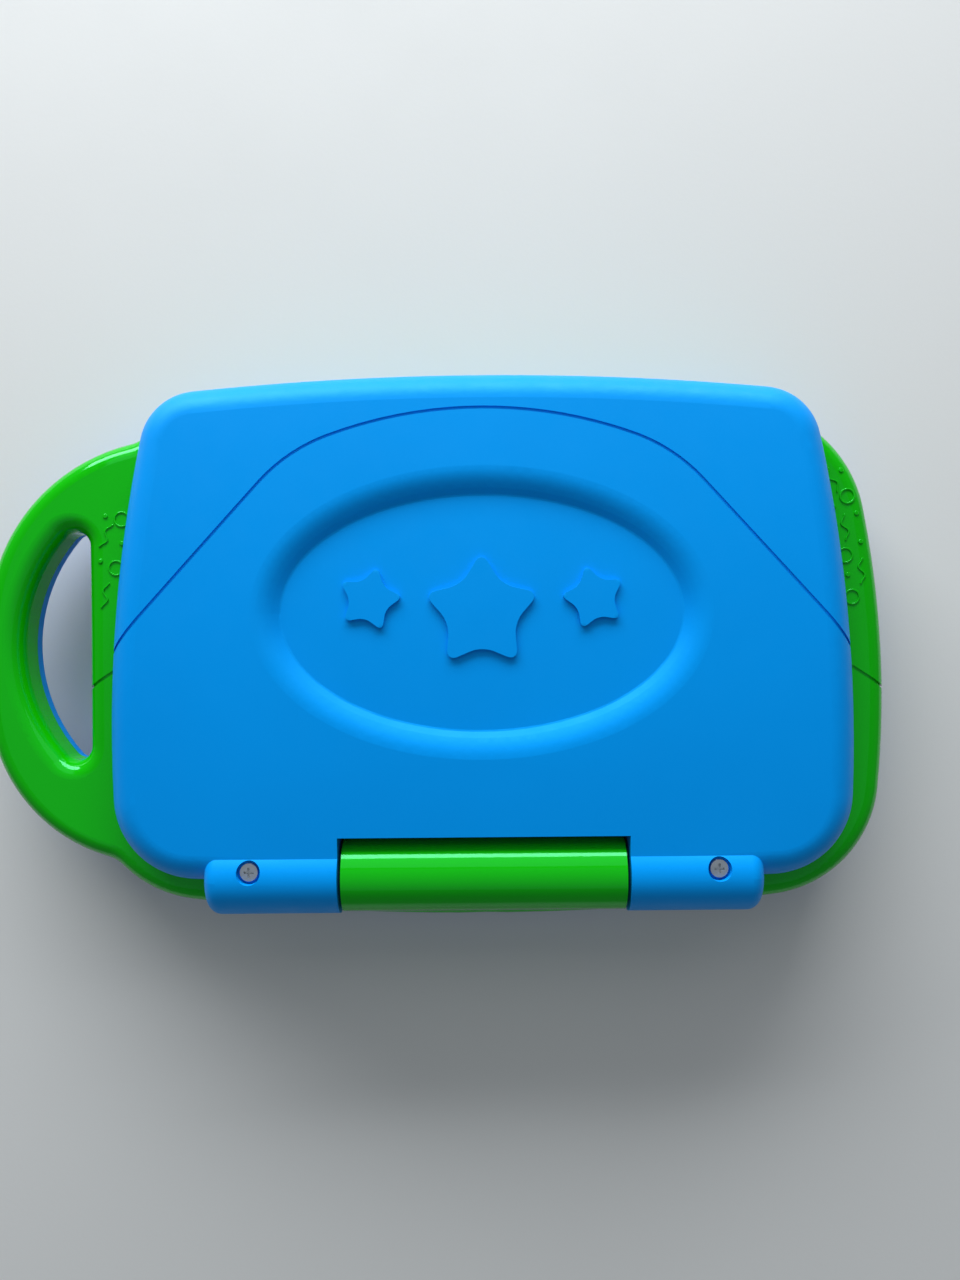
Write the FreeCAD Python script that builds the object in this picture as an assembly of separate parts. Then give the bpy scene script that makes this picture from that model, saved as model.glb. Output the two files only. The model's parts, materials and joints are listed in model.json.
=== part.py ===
"""A toy laptop computer with a carry handle, closed, as separate pieces in millimetres.

The object lies flat: +Z is up, -Y is the side where the lid opens, +Y is the hinge and +X is the handle.
Shapes are worked out about the middle of the lid, then moved so that the origin is under the middle of the
whole object, on the table.
"""

import FreeCAD
import Part

import math
import os

from FreeCAD import Vector

# Heights of the closed object, from the table up
FOOT_HEIGHT = 1.5
LOWER_SHELL_HEIGHT = 15.5
UPPER_SHELL_HEIGHT = 12.5
LID_GAP = 1.5
LID_THICKNESS = 14.5
BEZEL_THICKNESS = 2.4

# Walls and clearances
WALL = 2.4
THIN_WALL = 1.6
RUNNING_GAP = 0.3
SEAT_GAP = 0.05
SHELL_STEP = 0.5

# Lid outline, from above
LID_HALF_WIDTH = 111.0
LID_WIDEST_Y = 31.4
LID_SIDE_RADIUS = 480.0
LID_FRONT_Y = -80.0
LID_FRONT_RADIUS = 885.0
LID_REAR_Y = 72.7
LID_REAR_RADIUS = 2000.0
LID_FRONT_CORNER = 18.0
LID_REAR_CORNER = 25.0
LID_EDGE_RADIUS = 9.0
CROWN_RADIUS = 1500.0
CROWN_Y = -4.0

# Base outline, from above
BASE_HALF_WIDTH = 124.8
BASE_WIDEST_Y = 16.0
BASE_SIDE_RADIUS = 300.0
BASE_FRONT_Y = -74.5
BASE_FRONT_RADIUS = 2500.0
BASE_REAR_Y = 85.0
BASE_REAR_RADIUS = 800.0
BASE_FRONT_CORNER = 40.0
BASE_REAR_CORNER = 37.5
DECK_EDGE_RADIUS = 5.5
BELLY_EDGE_RADIUS = 9.0

# Carry handle
HANDLE_PROJECTION = 29.2
HANDLE_FRONT_Y = -64.0
HANDLE_REAR_Y = 68.5
HANDLE_FRONT_CORNER = 58.0
HANDLE_REAR_CORNER = 51.5
HANDLE_BLEND = 10.0
HANDLE_BAR_WIDTH = 11.5
HANDLE_BAR_DEPTH = 19.5
HANDLE_BELLY_RADIUS = 3.2
GRIP_SET_IN = 2.8
GRIP_HALF_LENGTH = 41.5
GRIP_CENTRE_Y = 0.5
GRIP_CORNER = 4.5

# Dished oval in the lid and the groove over it
DISH_CENTRE_Y = -8.5
DISH_HALF_LENGTH = 64.5
DISH_HALF_WIDTH = 40.5
DISH_SLOPE = 5.0
DISH_DEPTH = 3.2
DISH_RIM_RADIUS = 11.0
DISH_FLOOR_RADIUS = 1.0
GROOVE_WIDTH = 0.9
GROOVE_DEPTH = 0.6
GROOVE_APEX_Y = -68.5
GROOVE_TOP_RADIUS = 130.0
GROOVE_TOP_TURN = 20.3
GROOVE_SHOULDER_RADIUS = 50.0
GROOVE_SHOULDER_TURN = 27.7
GROOVE_FLANK = 76.0

# Groove across each side of the deck
DECK_GROOVE_Y = 15.8
DECK_GROOVE_SLANT = 33.0
DECK_GROOVE_RUN = 32.0
DECK_GROOVE_OVERRUN = 6.0

# Hinge
HINGE_Y = 70.0
HINGE_DROP = 11.0
BARREL_RADIUS = 11.0
BARREL_HALF_LENGTH = 42.0
BARREL_BORE = 8.6
BARREL_END_WALL = 3.6
KNUCKLE_RADIUS = 11.5
KNUCKLE_LENGTH = 39.4
KNUCKLE_END_RADIUS = 4.0
HINGE_END_GAP = 1.0
NOTCH_GAP = 1.6
TROUGH_GAP = 0.7
TROUGH_END_GAP = 2.1
PIN_RADIUS = 3.0
PIN_BORE = 1.8
PIN_HEAD_RADIUS = 4.5
PIN_HEAD_LENGTH = 2.0
PIN_ENGAGEMENT = 14.0
PIN_RUNNING_GAP = 0.15
HINGE_SCREW_FROM_PIN = 11.8
HINGE_SCREW_AHEAD = 2.9
HINGE_SCREW_RECESS = 3.5
HINGE_SCREW_SINK = 3.2
HINGE_SCREW_LENGTH = 12.0

# Screws, by head and shank
SCREW_HEAD_RADIUS = 2.6
SCREW_HEAD_HEIGHT = 1.7
SCREW_RADIUS = 1.25
SMALL_HEAD_RADIUS = 2.0
SMALL_HEAD_HEIGHT = 1.1
SMALL_SCREW_RADIUS = 0.9
CROSS_LENGTH = 2.9
CROSS_WIDTH = 0.7
CROSS_DEPTH = 0.8
BOSS_WALL = 2.0

# Keyboard
KEY_PITCH_X = 17.6
KEY_PITCH_Y = 17.0
KEY_WIDTH = 14.6
KEY_DEPTH = 14.2
KEY_CORNER = 2.6
KEY_TAPER = 0.8
KEY_EDGE_RADIUS = 0.9
KEY_DISH_RADIUS = 45.0
KEY_DISH_DEPTH = 0.5
KEY_FLANGE = 0.8
KEY_FLANGE_THICKNESS = 1.4
KEY_RISE = 0.4
KEY_TRAVEL = 1.6
KEY_HANG = 0.2
KEY_ROWS = ("qwertyuiop", "asdfghjkl", "zxcvbnm")
TOP_ROW_Y = -20.0
MODE_BUTTONS = 5
MODE_PITCH = 32.0
MODE_WIDTH = 24.0
MODE_DEPTH = 10.0
MODE_ROW_Y = -2.0
MODE_CORNER = 4.6
DOME_RADIUS = 4.0
DOME_TIP_RADIUS = 2.2
SHEET_THICKNESS = 0.7
DOME_STOP = 1.0
DOME_GAP = 0.2
PANEL_MARGIN = 6.0
PANEL_SIDE_MARGIN = 5.6
PANEL_CORNER = 20.0
PLATE_THICKNESS = 2.0
PLATE_RIM = 3.5
PEG_RADIUS = 1.2
PEG_LENGTH = 2.6
PEG_INSET_X = 45.0
BOARD_THICKNESS = 1.6
BOARD_MARGIN = 3.0
BOARD_POST_END = 86.0
BOARD_POST_LOW = 75.0
BOARD_POST_TOP = 48.0
CHIP_PLACES = ((-45.0, -20.0), (0.0, -30.0), (48.0, -20.0))
CHIP_SIZE = 14.0
CHIP_HEIGHT = 2.2

# Speaker under the left of the deck
SPEAKER_INSET = 52.8
SPEAKER_Y = 34.0
SPEAKER_RADIUS = 20.0
SPEAKER_FLANGE = 1.2
SPEAKER_BASKET = 7.0
SPEAKER_CONE_DEPTH = 4.0
SPEAKER_DUST_CAP = 6.0
SPEAKER_RIM = 2.0
MAGNET_RADIUS = 10.0
MAGNET_HEIGHT = 5.0
SPEAKER_SCREW_OFFSET = 3.0
SPEAKER_SCREW_HEAD = 3.6
SPEAKER_SCREW_LENGTH = 2.4
GRILLE_HOLE = 1.4
GRILLE_PITCH = 5.2
GRILLE_RINGS = 3
GRILLE_FIRST_RING = 6

# Power slider on the right of the deck
SLIDER_INSET = 52.8
SLIDER_Y = 34.0
SLIDER_LENGTH = 12.0
SLIDER_WIDTH = 8.0
SLIDER_RISE = 0.8
SLIDER_TRAVEL = 8.0
SLIDER_POCKET_DEPTH = 1.4
SLIDER_STEM_LENGTH = 4.0
SLIDER_STEM_WIDTH = 3.0
SLIDER_CLIP = 1.0
SLIDER_CLIP_MARGIN = 2.0
SLIDER_RIB = 0.5
SLIDER_RIB_PITCH = 2.0
SLIDER_RIBS = 4
SWITCH_LENGTH = 26.0
SWITCH_WIDTH = 9.0
SWITCH_HEIGHT = 5.0
SWITCH_EAR = 8.0
SWITCH_EAR_THICKNESS = 1.6

# Battery bay
CELL_RADIUS = 7.25
CELL_LENGTH = 50.5
CELL_NUB_RADIUS = 2.75
CELL_NUB_LENGTH = 1.2
CELLS = 3
CELL_SPACING = 0.3
BAY_CENTRE_Y = 34.5
CONTACT_THICKNESS = 0.4
CONTACT_REACH = 1.9
CONTACT_WIDTH = 10.0
CONTACT_HEIGHT = 11.0
DOOR_THICKNESS = 2.0
DOOR_GAP = 0.2
DOOR_TAB_LENGTH = 10.0
DOOR_TAB_WIDTH = 16.0
DOOR_TONGUE = 3.0
DOOR_TONGUE_WIDTH = 10.0
DOOR_TONGUE_THICKNESS = 0.9
DOOR_TONGUE_Y = 13.0
DOOR_PAD_HEIGHT = 5.0
DOOR_SCREW_LENGTH = 6.0

# Shell screws, feet and bumpers: how far each is from the side, and where along it
BASE_SCREW_INSETS = ((18.8, -46.0), (16.8, 10.0), (25.8, 59.0))
BASE_SCREW_SINK = 6.5
BASE_SCREW_GRIP = 9.0
LID_SCREW_INSETS = ((19.0, -58.0), (10.0, -5.0), (14.0, 46.0))
LID_SCREW_LENGTH = 5.0
FOOT_INSETS = ((36.8, -50.0), (36.8, 58.0))
FOOT_RADIUS = 6.0
FOOT_RECESS = 0.6
BUMPER_INSETS = ((11.0, -42.0), (8.0, 25.0))
BUMPER_RADIUS = 3.0

# Screen in the lid
SCREEN_CENTRE_Y = -9.0
WINDOW_WIDTH = 104.0
WINDOW_DEPTH = 62.0
WINDOW_CORNER = 5.0
LENS_OVERLAP = 5.0
LENS_THICKNESS = 1.2
LCD_OVERLAP = 1.5
LCD_THICKNESS = 2.2
LCD_FRAME_WALL = 3.0
LCD_FRAME_LIP = 1.0
DISPLAY_POST_OUT = 5.5
DISPLAY_POST_IN = 4.0

# Display cable, from the main board through the hinge pin on the handle's side to the display board
CABLE_RADIUS = 1.4
CABLE_BEND = 4.0
CABLE_X = 38.0
CABLE_TURN_X = 22.0
CABLE_CHANNEL_GAP = 1.0
CABLE_END_RUN = 10.0
CABLE_SPLIT_GAP = 0.3

# Levels that follow from the heights
FLOOR_Z = FOOT_HEIGHT
SPLIT_Z = FLOOR_Z + LOWER_SHELL_HEIGHT
DECK_Z = SPLIT_Z + UPPER_SHELL_HEIGHT
DECK_UNDER_Z = DECK_Z - WALL
LID_Z = DECK_Z + LID_GAP
BEZEL_TOP_Z = LID_Z + BEZEL_THICKNESS
LID_TOP_Z = LID_Z + LID_THICKNESS
HINGE_Z = LID_TOP_Z - HINGE_DROP
HANDLE_FLOOR_Z = DECK_Z - HANDLE_BAR_DEPTH
PLATE_Z = DECK_UNDER_Z - PLATE_THICKNESS
KEY_TOP_Z = DECK_Z + KEY_RISE
FLANGE_TOP_Z = PLATE_Z - KEY_HANG
FLANGE_Z = FLANGE_TOP_Z - KEY_FLANGE_THICKNESS
DOME_HEIGHT = KEY_TRAVEL + DOME_STOP
SHEET_TOP_Z = FLANGE_Z - DOME_GAP - DOME_HEIGHT
BOARD_TOP_Z = SHEET_TOP_Z - SHEET_THICKNESS
BOARD_Z = BOARD_TOP_Z - BOARD_THICKNESS
LENS_TOP_Z = BEZEL_TOP_Z + LENS_THICKNESS
LCD_TOP_Z = LENS_TOP_Z + LCD_THICKNESS
DISPLAY_BOARD_Z = LCD_TOP_Z + LCD_FRAME_LIP
DISPLAY_BOARD_TOP_Z = DISPLAY_BOARD_Z + BOARD_THICKNESS
DOOR_TOP_Z = FLOOR_Z + DOOR_THICKNESS
CELL_Z = DOOR_TOP_Z + CELL_SPACING + CELL_RADIUS
BAY_TOP_Z = CELL_Z + CELL_RADIUS + CELL_SPACING

# Places that follow from the sizes
HANDLE_REACH = BASE_HALF_WIDTH + HANDLE_PROJECTION
GRIP_INNER_X = BASE_HALF_WIDTH - GRIP_SET_IN
GRIP_OUTER_X = HANDLE_REACH - HANDLE_BAR_WIDTH
SPEAKER_X = SPEAKER_INSET - BASE_HALF_WIDTH
SLIDER_X = BASE_HALF_WIDTH - SLIDER_INSET
BASE_SCREW_PLACES = [(BASE_HALF_WIDTH - inset, y) for inset, y in BASE_SCREW_INSETS]
FOOT_PLACES = [(BASE_HALF_WIDTH - inset, y) for inset, y in FOOT_INSETS]
LID_SCREW_PLACES = [(LID_HALF_WIDTH - inset, y) for inset, y in LID_SCREW_INSETS]
BUMPER_PLACES = [(LID_HALF_WIDTH - inset, y) for inset, y in BUMPER_INSETS]
KNUCKLE_X = BARREL_HALF_LENGTH + HINGE_END_GAP
PIN_END_X = KNUCKLE_X + PIN_ENGAGEMENT
CABLE_LID_X = PIN_END_X + CABLE_BEND + RUNNING_GAP
HINGE_SCREW_X = PIN_END_X + HINGE_SCREW_FROM_PIN
HINGE_SCREW_Y = HINGE_Y - HINGE_SCREW_AHEAD
TROUGH_RADIUS = KNUCKLE_RADIUS + TROUGH_GAP
TROUGH_END_X = KNUCKLE_X + KNUCKLE_LENGTH + TROUGH_END_GAP
BOTTOM_ROW_Y = TOP_ROW_Y - (len(KEY_ROWS) - 1) * KEY_PITCH_Y
PANEL_HALF_WIDTH = ((len(KEY_ROWS[0]) - 1) * KEY_PITCH_X + KEY_WIDTH) / 2 + PANEL_SIDE_MARGIN
PANEL_FRONT_Y = BOTTOM_ROW_Y - KEY_DEPTH / 2 - PANEL_MARGIN / 2
PANEL_REAR_Y = MODE_ROW_Y + MODE_DEPTH / 2 + PANEL_MARGIN / 2
BAY_HALF_LENGTH = CELL_LENGTH / 2 + CONTACT_REACH + CONTACT_THICKNESS
BAY_HALF_WIDTH = CELLS * (CELL_RADIUS + CELL_SPACING / 2) + CELL_SPACING
DOOR_SCREW_X = BAY_HALF_LENGTH + THIN_WALL + DOOR_TAB_LENGTH / 2
BOARD_POSTS = (
    (BOARD_POST_END, TOP_ROW_Y - KEY_PITCH_Y),
    (BOARD_POST_LOW, BOTTOM_ROW_Y),
    (BOARD_POST_TOP, MODE_ROW_Y),
)
DISPLAY_POST_X = WINDOW_WIDTH / 2 + LENS_OVERLAP + DISPLAY_POST_OUT
DISPLAY_POST_DY = WINDOW_DEPTH / 2 + LENS_OVERLAP - DISPLAY_POST_IN
DISPLAY_BOARD_MARGIN = SMALL_SCREW_RADIUS + BOSS_WALL + RUNNING_GAP
DISPLAY_BOARD_REAR_Y = SCREEN_CENTRE_Y + DISPLAY_POST_DY + DISPLAY_BOARD_MARGIN
CABLE_RISE_Y = DISPLAY_BOARD_REAR_Y + CABLE_END_RUN
SPEAKER_SCREW_ANGLES = (0.0, 120.0, 240.0)
ORIGIN_SHIFT = Vector(-HANDLE_PROJECTION / 2, -(LID_FRONT_Y + BASE_REAR_Y) / 2, 0)

X_AXIS = Vector(1, 0, 0)
Y_AXIS = Vector(0, 1, 0)
Z_AXIS = Vector(0, 0, 1)
FAR = 400.0
SAME = 1e-4
SHARP_ANGLE = math.radians(5)


# Helpers

def block(x0, x1, y0, y1, z0, z1):
    """A box between two values on each axis."""
    return Part.makeBox(x1 - x0, y1 - y0, z1 - z0, Vector(x0, y0, z0))


def post(x, y, radius, z0, z1):
    """An upright cylinder."""
    return Part.makeCylinder(radius, z1 - z0, Vector(x, y, z0))


def rod(x0, x1, radius, y=HINGE_Y, z=HINGE_Z):
    """A cylinder along X, on the hinge axis unless told otherwise."""
    return Part.makeCylinder(radius, x1 - x0, Vector(x0, y, z), X_AXIS)


def upright_edges(shape):
    """The vertical straight edges of a shape."""
    return [
        edge
        for edge in shape.Edges
        if len(edge.Vertexes) == 2
        and abs(edge.Vertexes[0].X - edge.Vertexes[1].X) < SAME
        and abs(edge.Vertexes[0].Y - edge.Vertexes[1].Y) < SAME
    ]


def sharp_corners(shape):
    """The vertical edges at which two walls meet at an angle."""
    corners = []
    for edge in upright_edges(shape):
        walls = shape.ancestorsOfType(edge, Part.Face)
        if len(walls) != 2:
            continue
        middle = (edge.Vertexes[0].Point + edge.Vertexes[1].Point) * 0.5
        normals = [wall.normalAt(*wall.Surface.parameter(middle)) for wall in walls]
        if normals[0].getAngle(normals[1]) > SHARP_ANGLE:
            corners.append(edge)
    return corners


def level_edges(shape, z):
    """The edges that lie wholly at one height."""
    return [
        edge
        for edge in shape.Edges
        if abs(edge.BoundBox.ZMin - z) < SAME and abs(edge.BoundBox.ZMax - z) < SAME
    ]


def rounded_block(x0, x1, y0, y1, z0, z1, radius):
    """A box with rounded upright edges."""
    shape = block(x0, x1, y0, y1, z0, z1)
    return shape.makeFillet(radius, upright_edges(shape))


def both_sides(places):
    """Each place and its mirror image in X."""
    return [(side * x, y) for x, y in places for side in (1, -1)]


def mirrored(shape):
    """A shape together with its mirror image in X."""
    return [shape, shape.mirror(Vector(0, 0, 0), X_AXIS)]


def fused(shapes):
    """Shapes joined into one, with flush faces merged."""
    shapes = list(shapes)
    if len(shapes) == 1:
        return shapes[0]
    return shapes[0].multiFuse(shapes[1:]).removeSplitter()


def without(shape, tools):
    """A shape with every tool cut away."""
    return shape.cut(list(tools))


def save(name, *solids):
    """Write one node, moved to the object's own origin."""
    moved = [solid.translated(ORIGIN_SHIFT) for shape in solids for solid in shape.Solids]
    shape = moved[0] if len(moved) == 1 else Part.makeCompound(moved)
    shape.exportStep(f"parts/{name}.step")


def screw(x, y, seat_z, length, up, head_radius, head_height, radius):
    """A cross-head screw whose head rests on seat_z, with its shank going up or down."""
    way = 1 if up else -1
    head = Part.makeCylinder(head_radius, head_height, Vector(x, y, seat_z), Z_AXIS * -way)
    shank = Part.makeCylinder(radius, length, Vector(x, y, seat_z), Z_AXIS * way)
    face_z = seat_z - way * head_height
    slot_z = sorted((face_z, face_z + way * CROSS_DEPTH))
    reach = head_radius * CROSS_LENGTH / SCREW_HEAD_RADIUS / 2
    half = CROSS_WIDTH / 2
    bars = [
        block(x - reach, x + reach, y - half, y + half, *slot_z),
        block(x - half, x + half, y - reach, y + reach, *slot_z),
    ]
    return without(head.fuse(shank), bars)


# Outer forms

def bulged_prism(half_width, widest_y, side_radius, front_y, front_radius, rear_y, rear_radius,
                 front_corner, rear_corner, inset, z0, z1):
    """A prism whose four sides bulge, with rounded corners, drawn in by an inset all round."""
    def drum(x, y, radius):
        return post(x, y, radius - inset, z0, z1)

    right = drum(half_width - side_radius, widest_y, side_radius)
    # The seam of this drum is turned away from the wall that is kept
    right.rotate(Vector(half_width - side_radius, widest_y, 0), Z_AXIS, 180)
    shape = right.common(drum(side_radius - half_width, widest_y, side_radius))
    shape = shape.common(drum(0, front_y + front_radius, front_radius))
    shape = shape.common(drum(0, rear_y - rear_radius, rear_radius))
    front = [edge for edge in sharp_corners(shape) if edge.Vertexes[0].Y < widest_y]
    shape = shape.makeFillet(front_corner - inset, front)
    return shape.makeFillet(rear_corner - inset, sharp_corners(shape))


def lid_prism(inset, z0, z1):
    """The lid's outline, drawn in by an inset, between two heights."""
    return bulged_prism(
        LID_HALF_WIDTH, LID_WIDEST_Y, LID_SIDE_RADIUS, LID_FRONT_Y, LID_FRONT_RADIUS,
        LID_REAR_Y, LID_REAR_RADIUS, LID_FRONT_CORNER, LID_REAR_CORNER, inset, z0, z1)


def crown(inset):
    """Everything under the lid's crowned top, lowered by an inset."""
    centre = Vector(-FAR, CROWN_Y, LID_TOP_Z - CROWN_RADIUS)
    shape = Part.makeCylinder(CROWN_RADIUS - inset, 2 * FAR, centre, X_AXIS)
    # The seam is turned to the far side of the drum
    shape.rotate(centre, X_AXIS, 180)
    return shape


def crown_faces(shape, inset):
    """The faces of a shape that lie on the crown, lowered by an inset."""
    return [
        face
        for face in shape.Faces
        if isinstance(face.Surface, Part.Cylinder)
        and abs(face.Surface.Radius - CROWN_RADIUS + inset) < SAME
    ]


def lid_form(inset):
    """The lid with its crowned top and rounded edge, drawn in by an inset."""
    shape = lid_prism(inset, LID_Z, LID_TOP_Z + WALL).common(crown(inset))
    rim = [edge for face in crown_faces(shape, inset) for edge in face.Edges]
    return shape.makeFillet(LID_EDGE_RADIUS - inset, rim)


def base_prism(inset, z0, z1):
    """The base's outline without its handle."""
    return bulged_prism(
        BASE_HALF_WIDTH, BASE_WIDEST_Y, BASE_SIDE_RADIUS, BASE_FRONT_Y, BASE_FRONT_RADIUS,
        BASE_REAR_Y, BASE_REAR_RADIUS, BASE_FRONT_CORNER, BASE_REAR_CORNER, inset, z0, z1)


def handle_prism(inset, z0, z1):
    """The handle's outer outline, running back into the base."""
    shape = block(0, HANDLE_REACH - inset, HANDLE_FRONT_Y + inset, HANDLE_REAR_Y - inset, z0, z1)
    outer = [edge for edge in upright_edges(shape) if edge.Vertexes[0].X > 0]
    front = [edge for edge in outer if edge.Vertexes[0].Y < GRIP_CENTRE_Y]
    shape = shape.makeFillet(HANDLE_FRONT_CORNER - inset, front)
    rear = [
        edge
        for edge in sharp_corners(shape)
        if edge.Vertexes[0].X > 0 and edge.Vertexes[0].Y > GRIP_CENTRE_Y
    ]
    return shape.makeFillet(HANDLE_REAR_CORNER - inset, rear)


def grip_hole(inset, z0, z1):
    """The D-shaped hole for the fingers, made wider by the inset of the solid around it."""
    depth = GRIP_OUTER_X - GRIP_INNER_X
    radius = (GRIP_HALF_LENGTH ** 2 + depth ** 2) / (2 * depth)
    centre = Vector(GRIP_OUTER_X - radius, GRIP_CENTRE_Y, z0)
    shape = Part.makeCylinder(radius + inset, z1 - z0, centre)
    shape.rotate(centre, Z_AXIS, 180)
    shape = shape.common(block(GRIP_INNER_X - inset, FAR, -FAR, FAR, z0, z1))
    return shape.makeFillet(GRIP_CORNER + inset, sharp_corners(shape))


def outline_prism(inset, z0, z1):
    """The whole base outline with its handle and finger hole."""
    shape = base_prism(inset, z0, z1).fuse(handle_prism(inset, z0, z1)).removeSplitter()
    shape = shape.makeFillet(HANDLE_BLEND + inset, sharp_corners(shape))
    return shape.cut(grip_hole(inset, z0, z1))


def upper_form(inset):
    """The base above its split, with the deck's rounded edge."""
    top = DECK_Z - inset
    shape = outline_prism(inset, SPLIT_Z, top)
    return shape.makeFillet(DECK_EDGE_RADIUS - inset, level_edges(shape, top))


def lower_form(inset, lift):
    """The base below its split: a deep belly under the deck and a shallow one under the handle."""
    belly_z = FLOOR_Z + lift
    belly = base_prism(inset, belly_z, SPLIT_Z)
    belly = belly.makeFillet(BELLY_EDGE_RADIUS - inset, level_edges(belly, belly_z))
    belly = belly.cut(grip_hole(inset, belly_z, SPLIT_Z))
    handle_z = HANDLE_FLOOR_Z + lift
    handle = outline_prism(inset, handle_z, SPLIT_Z)
    handle = handle.makeFillet(HANDLE_BELLY_RADIUS - lift, level_edges(handle, handle_z))
    return belly.fuse(handle)


def groove_band(start, heading, moves, z0, z1):
    """A thin upright band along tangent arcs and lines.

    Each move is (radius, turn in degrees), with a positive turn to the left, or (length, 0) for a line.
    """
    half = GROOVE_WIDTH / 2
    sides = {1: [], -1: []}
    point = start
    for size, turn in moves:
        ahead = Vector(math.cos(heading), math.sin(heading), 0)
        left = Vector(-ahead.y, ahead.x, 0)
        if turn == 0:
            end = point + ahead * size
            for side, edges in sides.items():
                edges.append(Part.makeLine(point + left * (side * half), end + left * (side * half)))
        else:
            way = math.copysign(1, turn)
            centre = point + left * (way * size)
            angles = [heading + math.radians(turn) * share for share in (0, 0.5, 1)]
            spokes = [Vector(math.sin(angle), -math.cos(angle), 0) * way for angle in angles]
            for side, edges in sides.items():
                reach = size - way * side * half
                edges.append(Part.Arc(*[centre + spoke * reach for spoke in spokes]).toShape())
            heading = angles[-1]
            end = centre + spokes[-1] * size
        point = end
    ends = [
        Part.makeLine(sides[1][at].Vertexes[at].Point, sides[-1][at].Vertexes[at].Point)
        for at in (0, -1)
    ]
    outline = Part.Wire(Part.__sortEdges__([*sides[1], *sides[-1], *ends]))
    return Part.Face(outline).translated(Vector(0, 0, z0)).extrude(Vector(0, 0, z1 - z0))


# Lid

def knuckle():
    """One whole hinge knuckle of the lid, on the handle's side, with a rounded outer end."""
    outer_x = KNUCKLE_X + KNUCKLE_LENGTH
    shape = rod(KNUCKLE_X, outer_x, KNUCKLE_RADIUS)
    rim = [edge for edge in shape.Edges if edge.BoundBox.XMin > outer_x - SAME]
    return shape.makeFillet(KNUCKLE_END_RADIUS, rim)


def knuckle_hollows():
    """The hinge pin's bore, the cable's channel and the screw's hole in one knuckle."""
    channel = CABLE_RADIUS + CABLE_CHANNEL_GAP
    turn = Vector(CABLE_LID_X, HINGE_Y, HINGE_Z)
    screw_tip = hinge_screw_seat() - HINGE_SCREW_LENGTH - RUNNING_GAP
    return [
        rod(KNUCKLE_X - HINGE_END_GAP, CABLE_LID_X + channel, PIN_RADIUS + PIN_RUNNING_GAP),
        Part.makeCylinder(channel, HINGE_Y - CABLE_RISE_Y, turn, -Y_AXIS),
        post(HINGE_SCREW_X, HINGE_SCREW_Y, SCREW_RADIUS + SEAT_GAP, screw_tip, LID_TOP_Z),
    ]


def hinge_screw_seat():
    """The height at which a hinge screw's head rests in its recess."""
    return HINGE_Z + KNUCKLE_RADIUS - HINGE_SCREW_SINK


def hinge_notch():
    """The gap in the lid's rear for the base's hinge barrel."""
    front_y = HINGE_Y - BARREL_RADIUS - NOTCH_GAP
    return block(-KNUCKLE_X, KNUCKLE_X, front_y, LID_REAR_Y + FAR, LID_Z - FAR, LID_TOP_Z + FAR)


def lower_half_space():
    """Everything below the hinge axis."""
    return block(-FAR, FAR, -FAR, FAR, HINGE_Z - FAR, HINGE_Z)


def dish(grow):
    """The oval hollow in the lid, made deeper and wider by a wall."""
    def oval(half_length, half_width, z):
        centre = Vector(0, DISH_CENTRE_Y, z)
        return Part.Wire(Part.Ellipse(centre, half_length, half_width).toShape())

    slope = DISH_SLOPE / DISH_DEPTH
    wires = []
    for height in (WALL, -DISH_DEPTH - grow - WALL):
        spread = grow + slope * height
        wires.append(oval(DISH_HALF_LENGTH + spread, DISH_HALF_WIDTH + spread, LID_TOP_Z + height))
    return Part.makeLoft(wires, True, True).cut(crown(DISH_DEPTH + grow))


def lid_groove():
    """The bell-shaped groove over the lid, running down both sides."""
    moves = (
        (GROOVE_TOP_RADIUS, GROOVE_TOP_TURN),
        (GROOVE_SHOULDER_RADIUS, GROOVE_SHOULDER_TURN),
        (GROOVE_FLANK, 0),
    )
    band = groove_band(Vector(0, GROOVE_APEX_Y, 0), 0, moves, BEZEL_TOP_Z, LID_TOP_Z)
    return fused(mirrored(band)).cut(lid_form(GROOVE_DEPTH))


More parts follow.
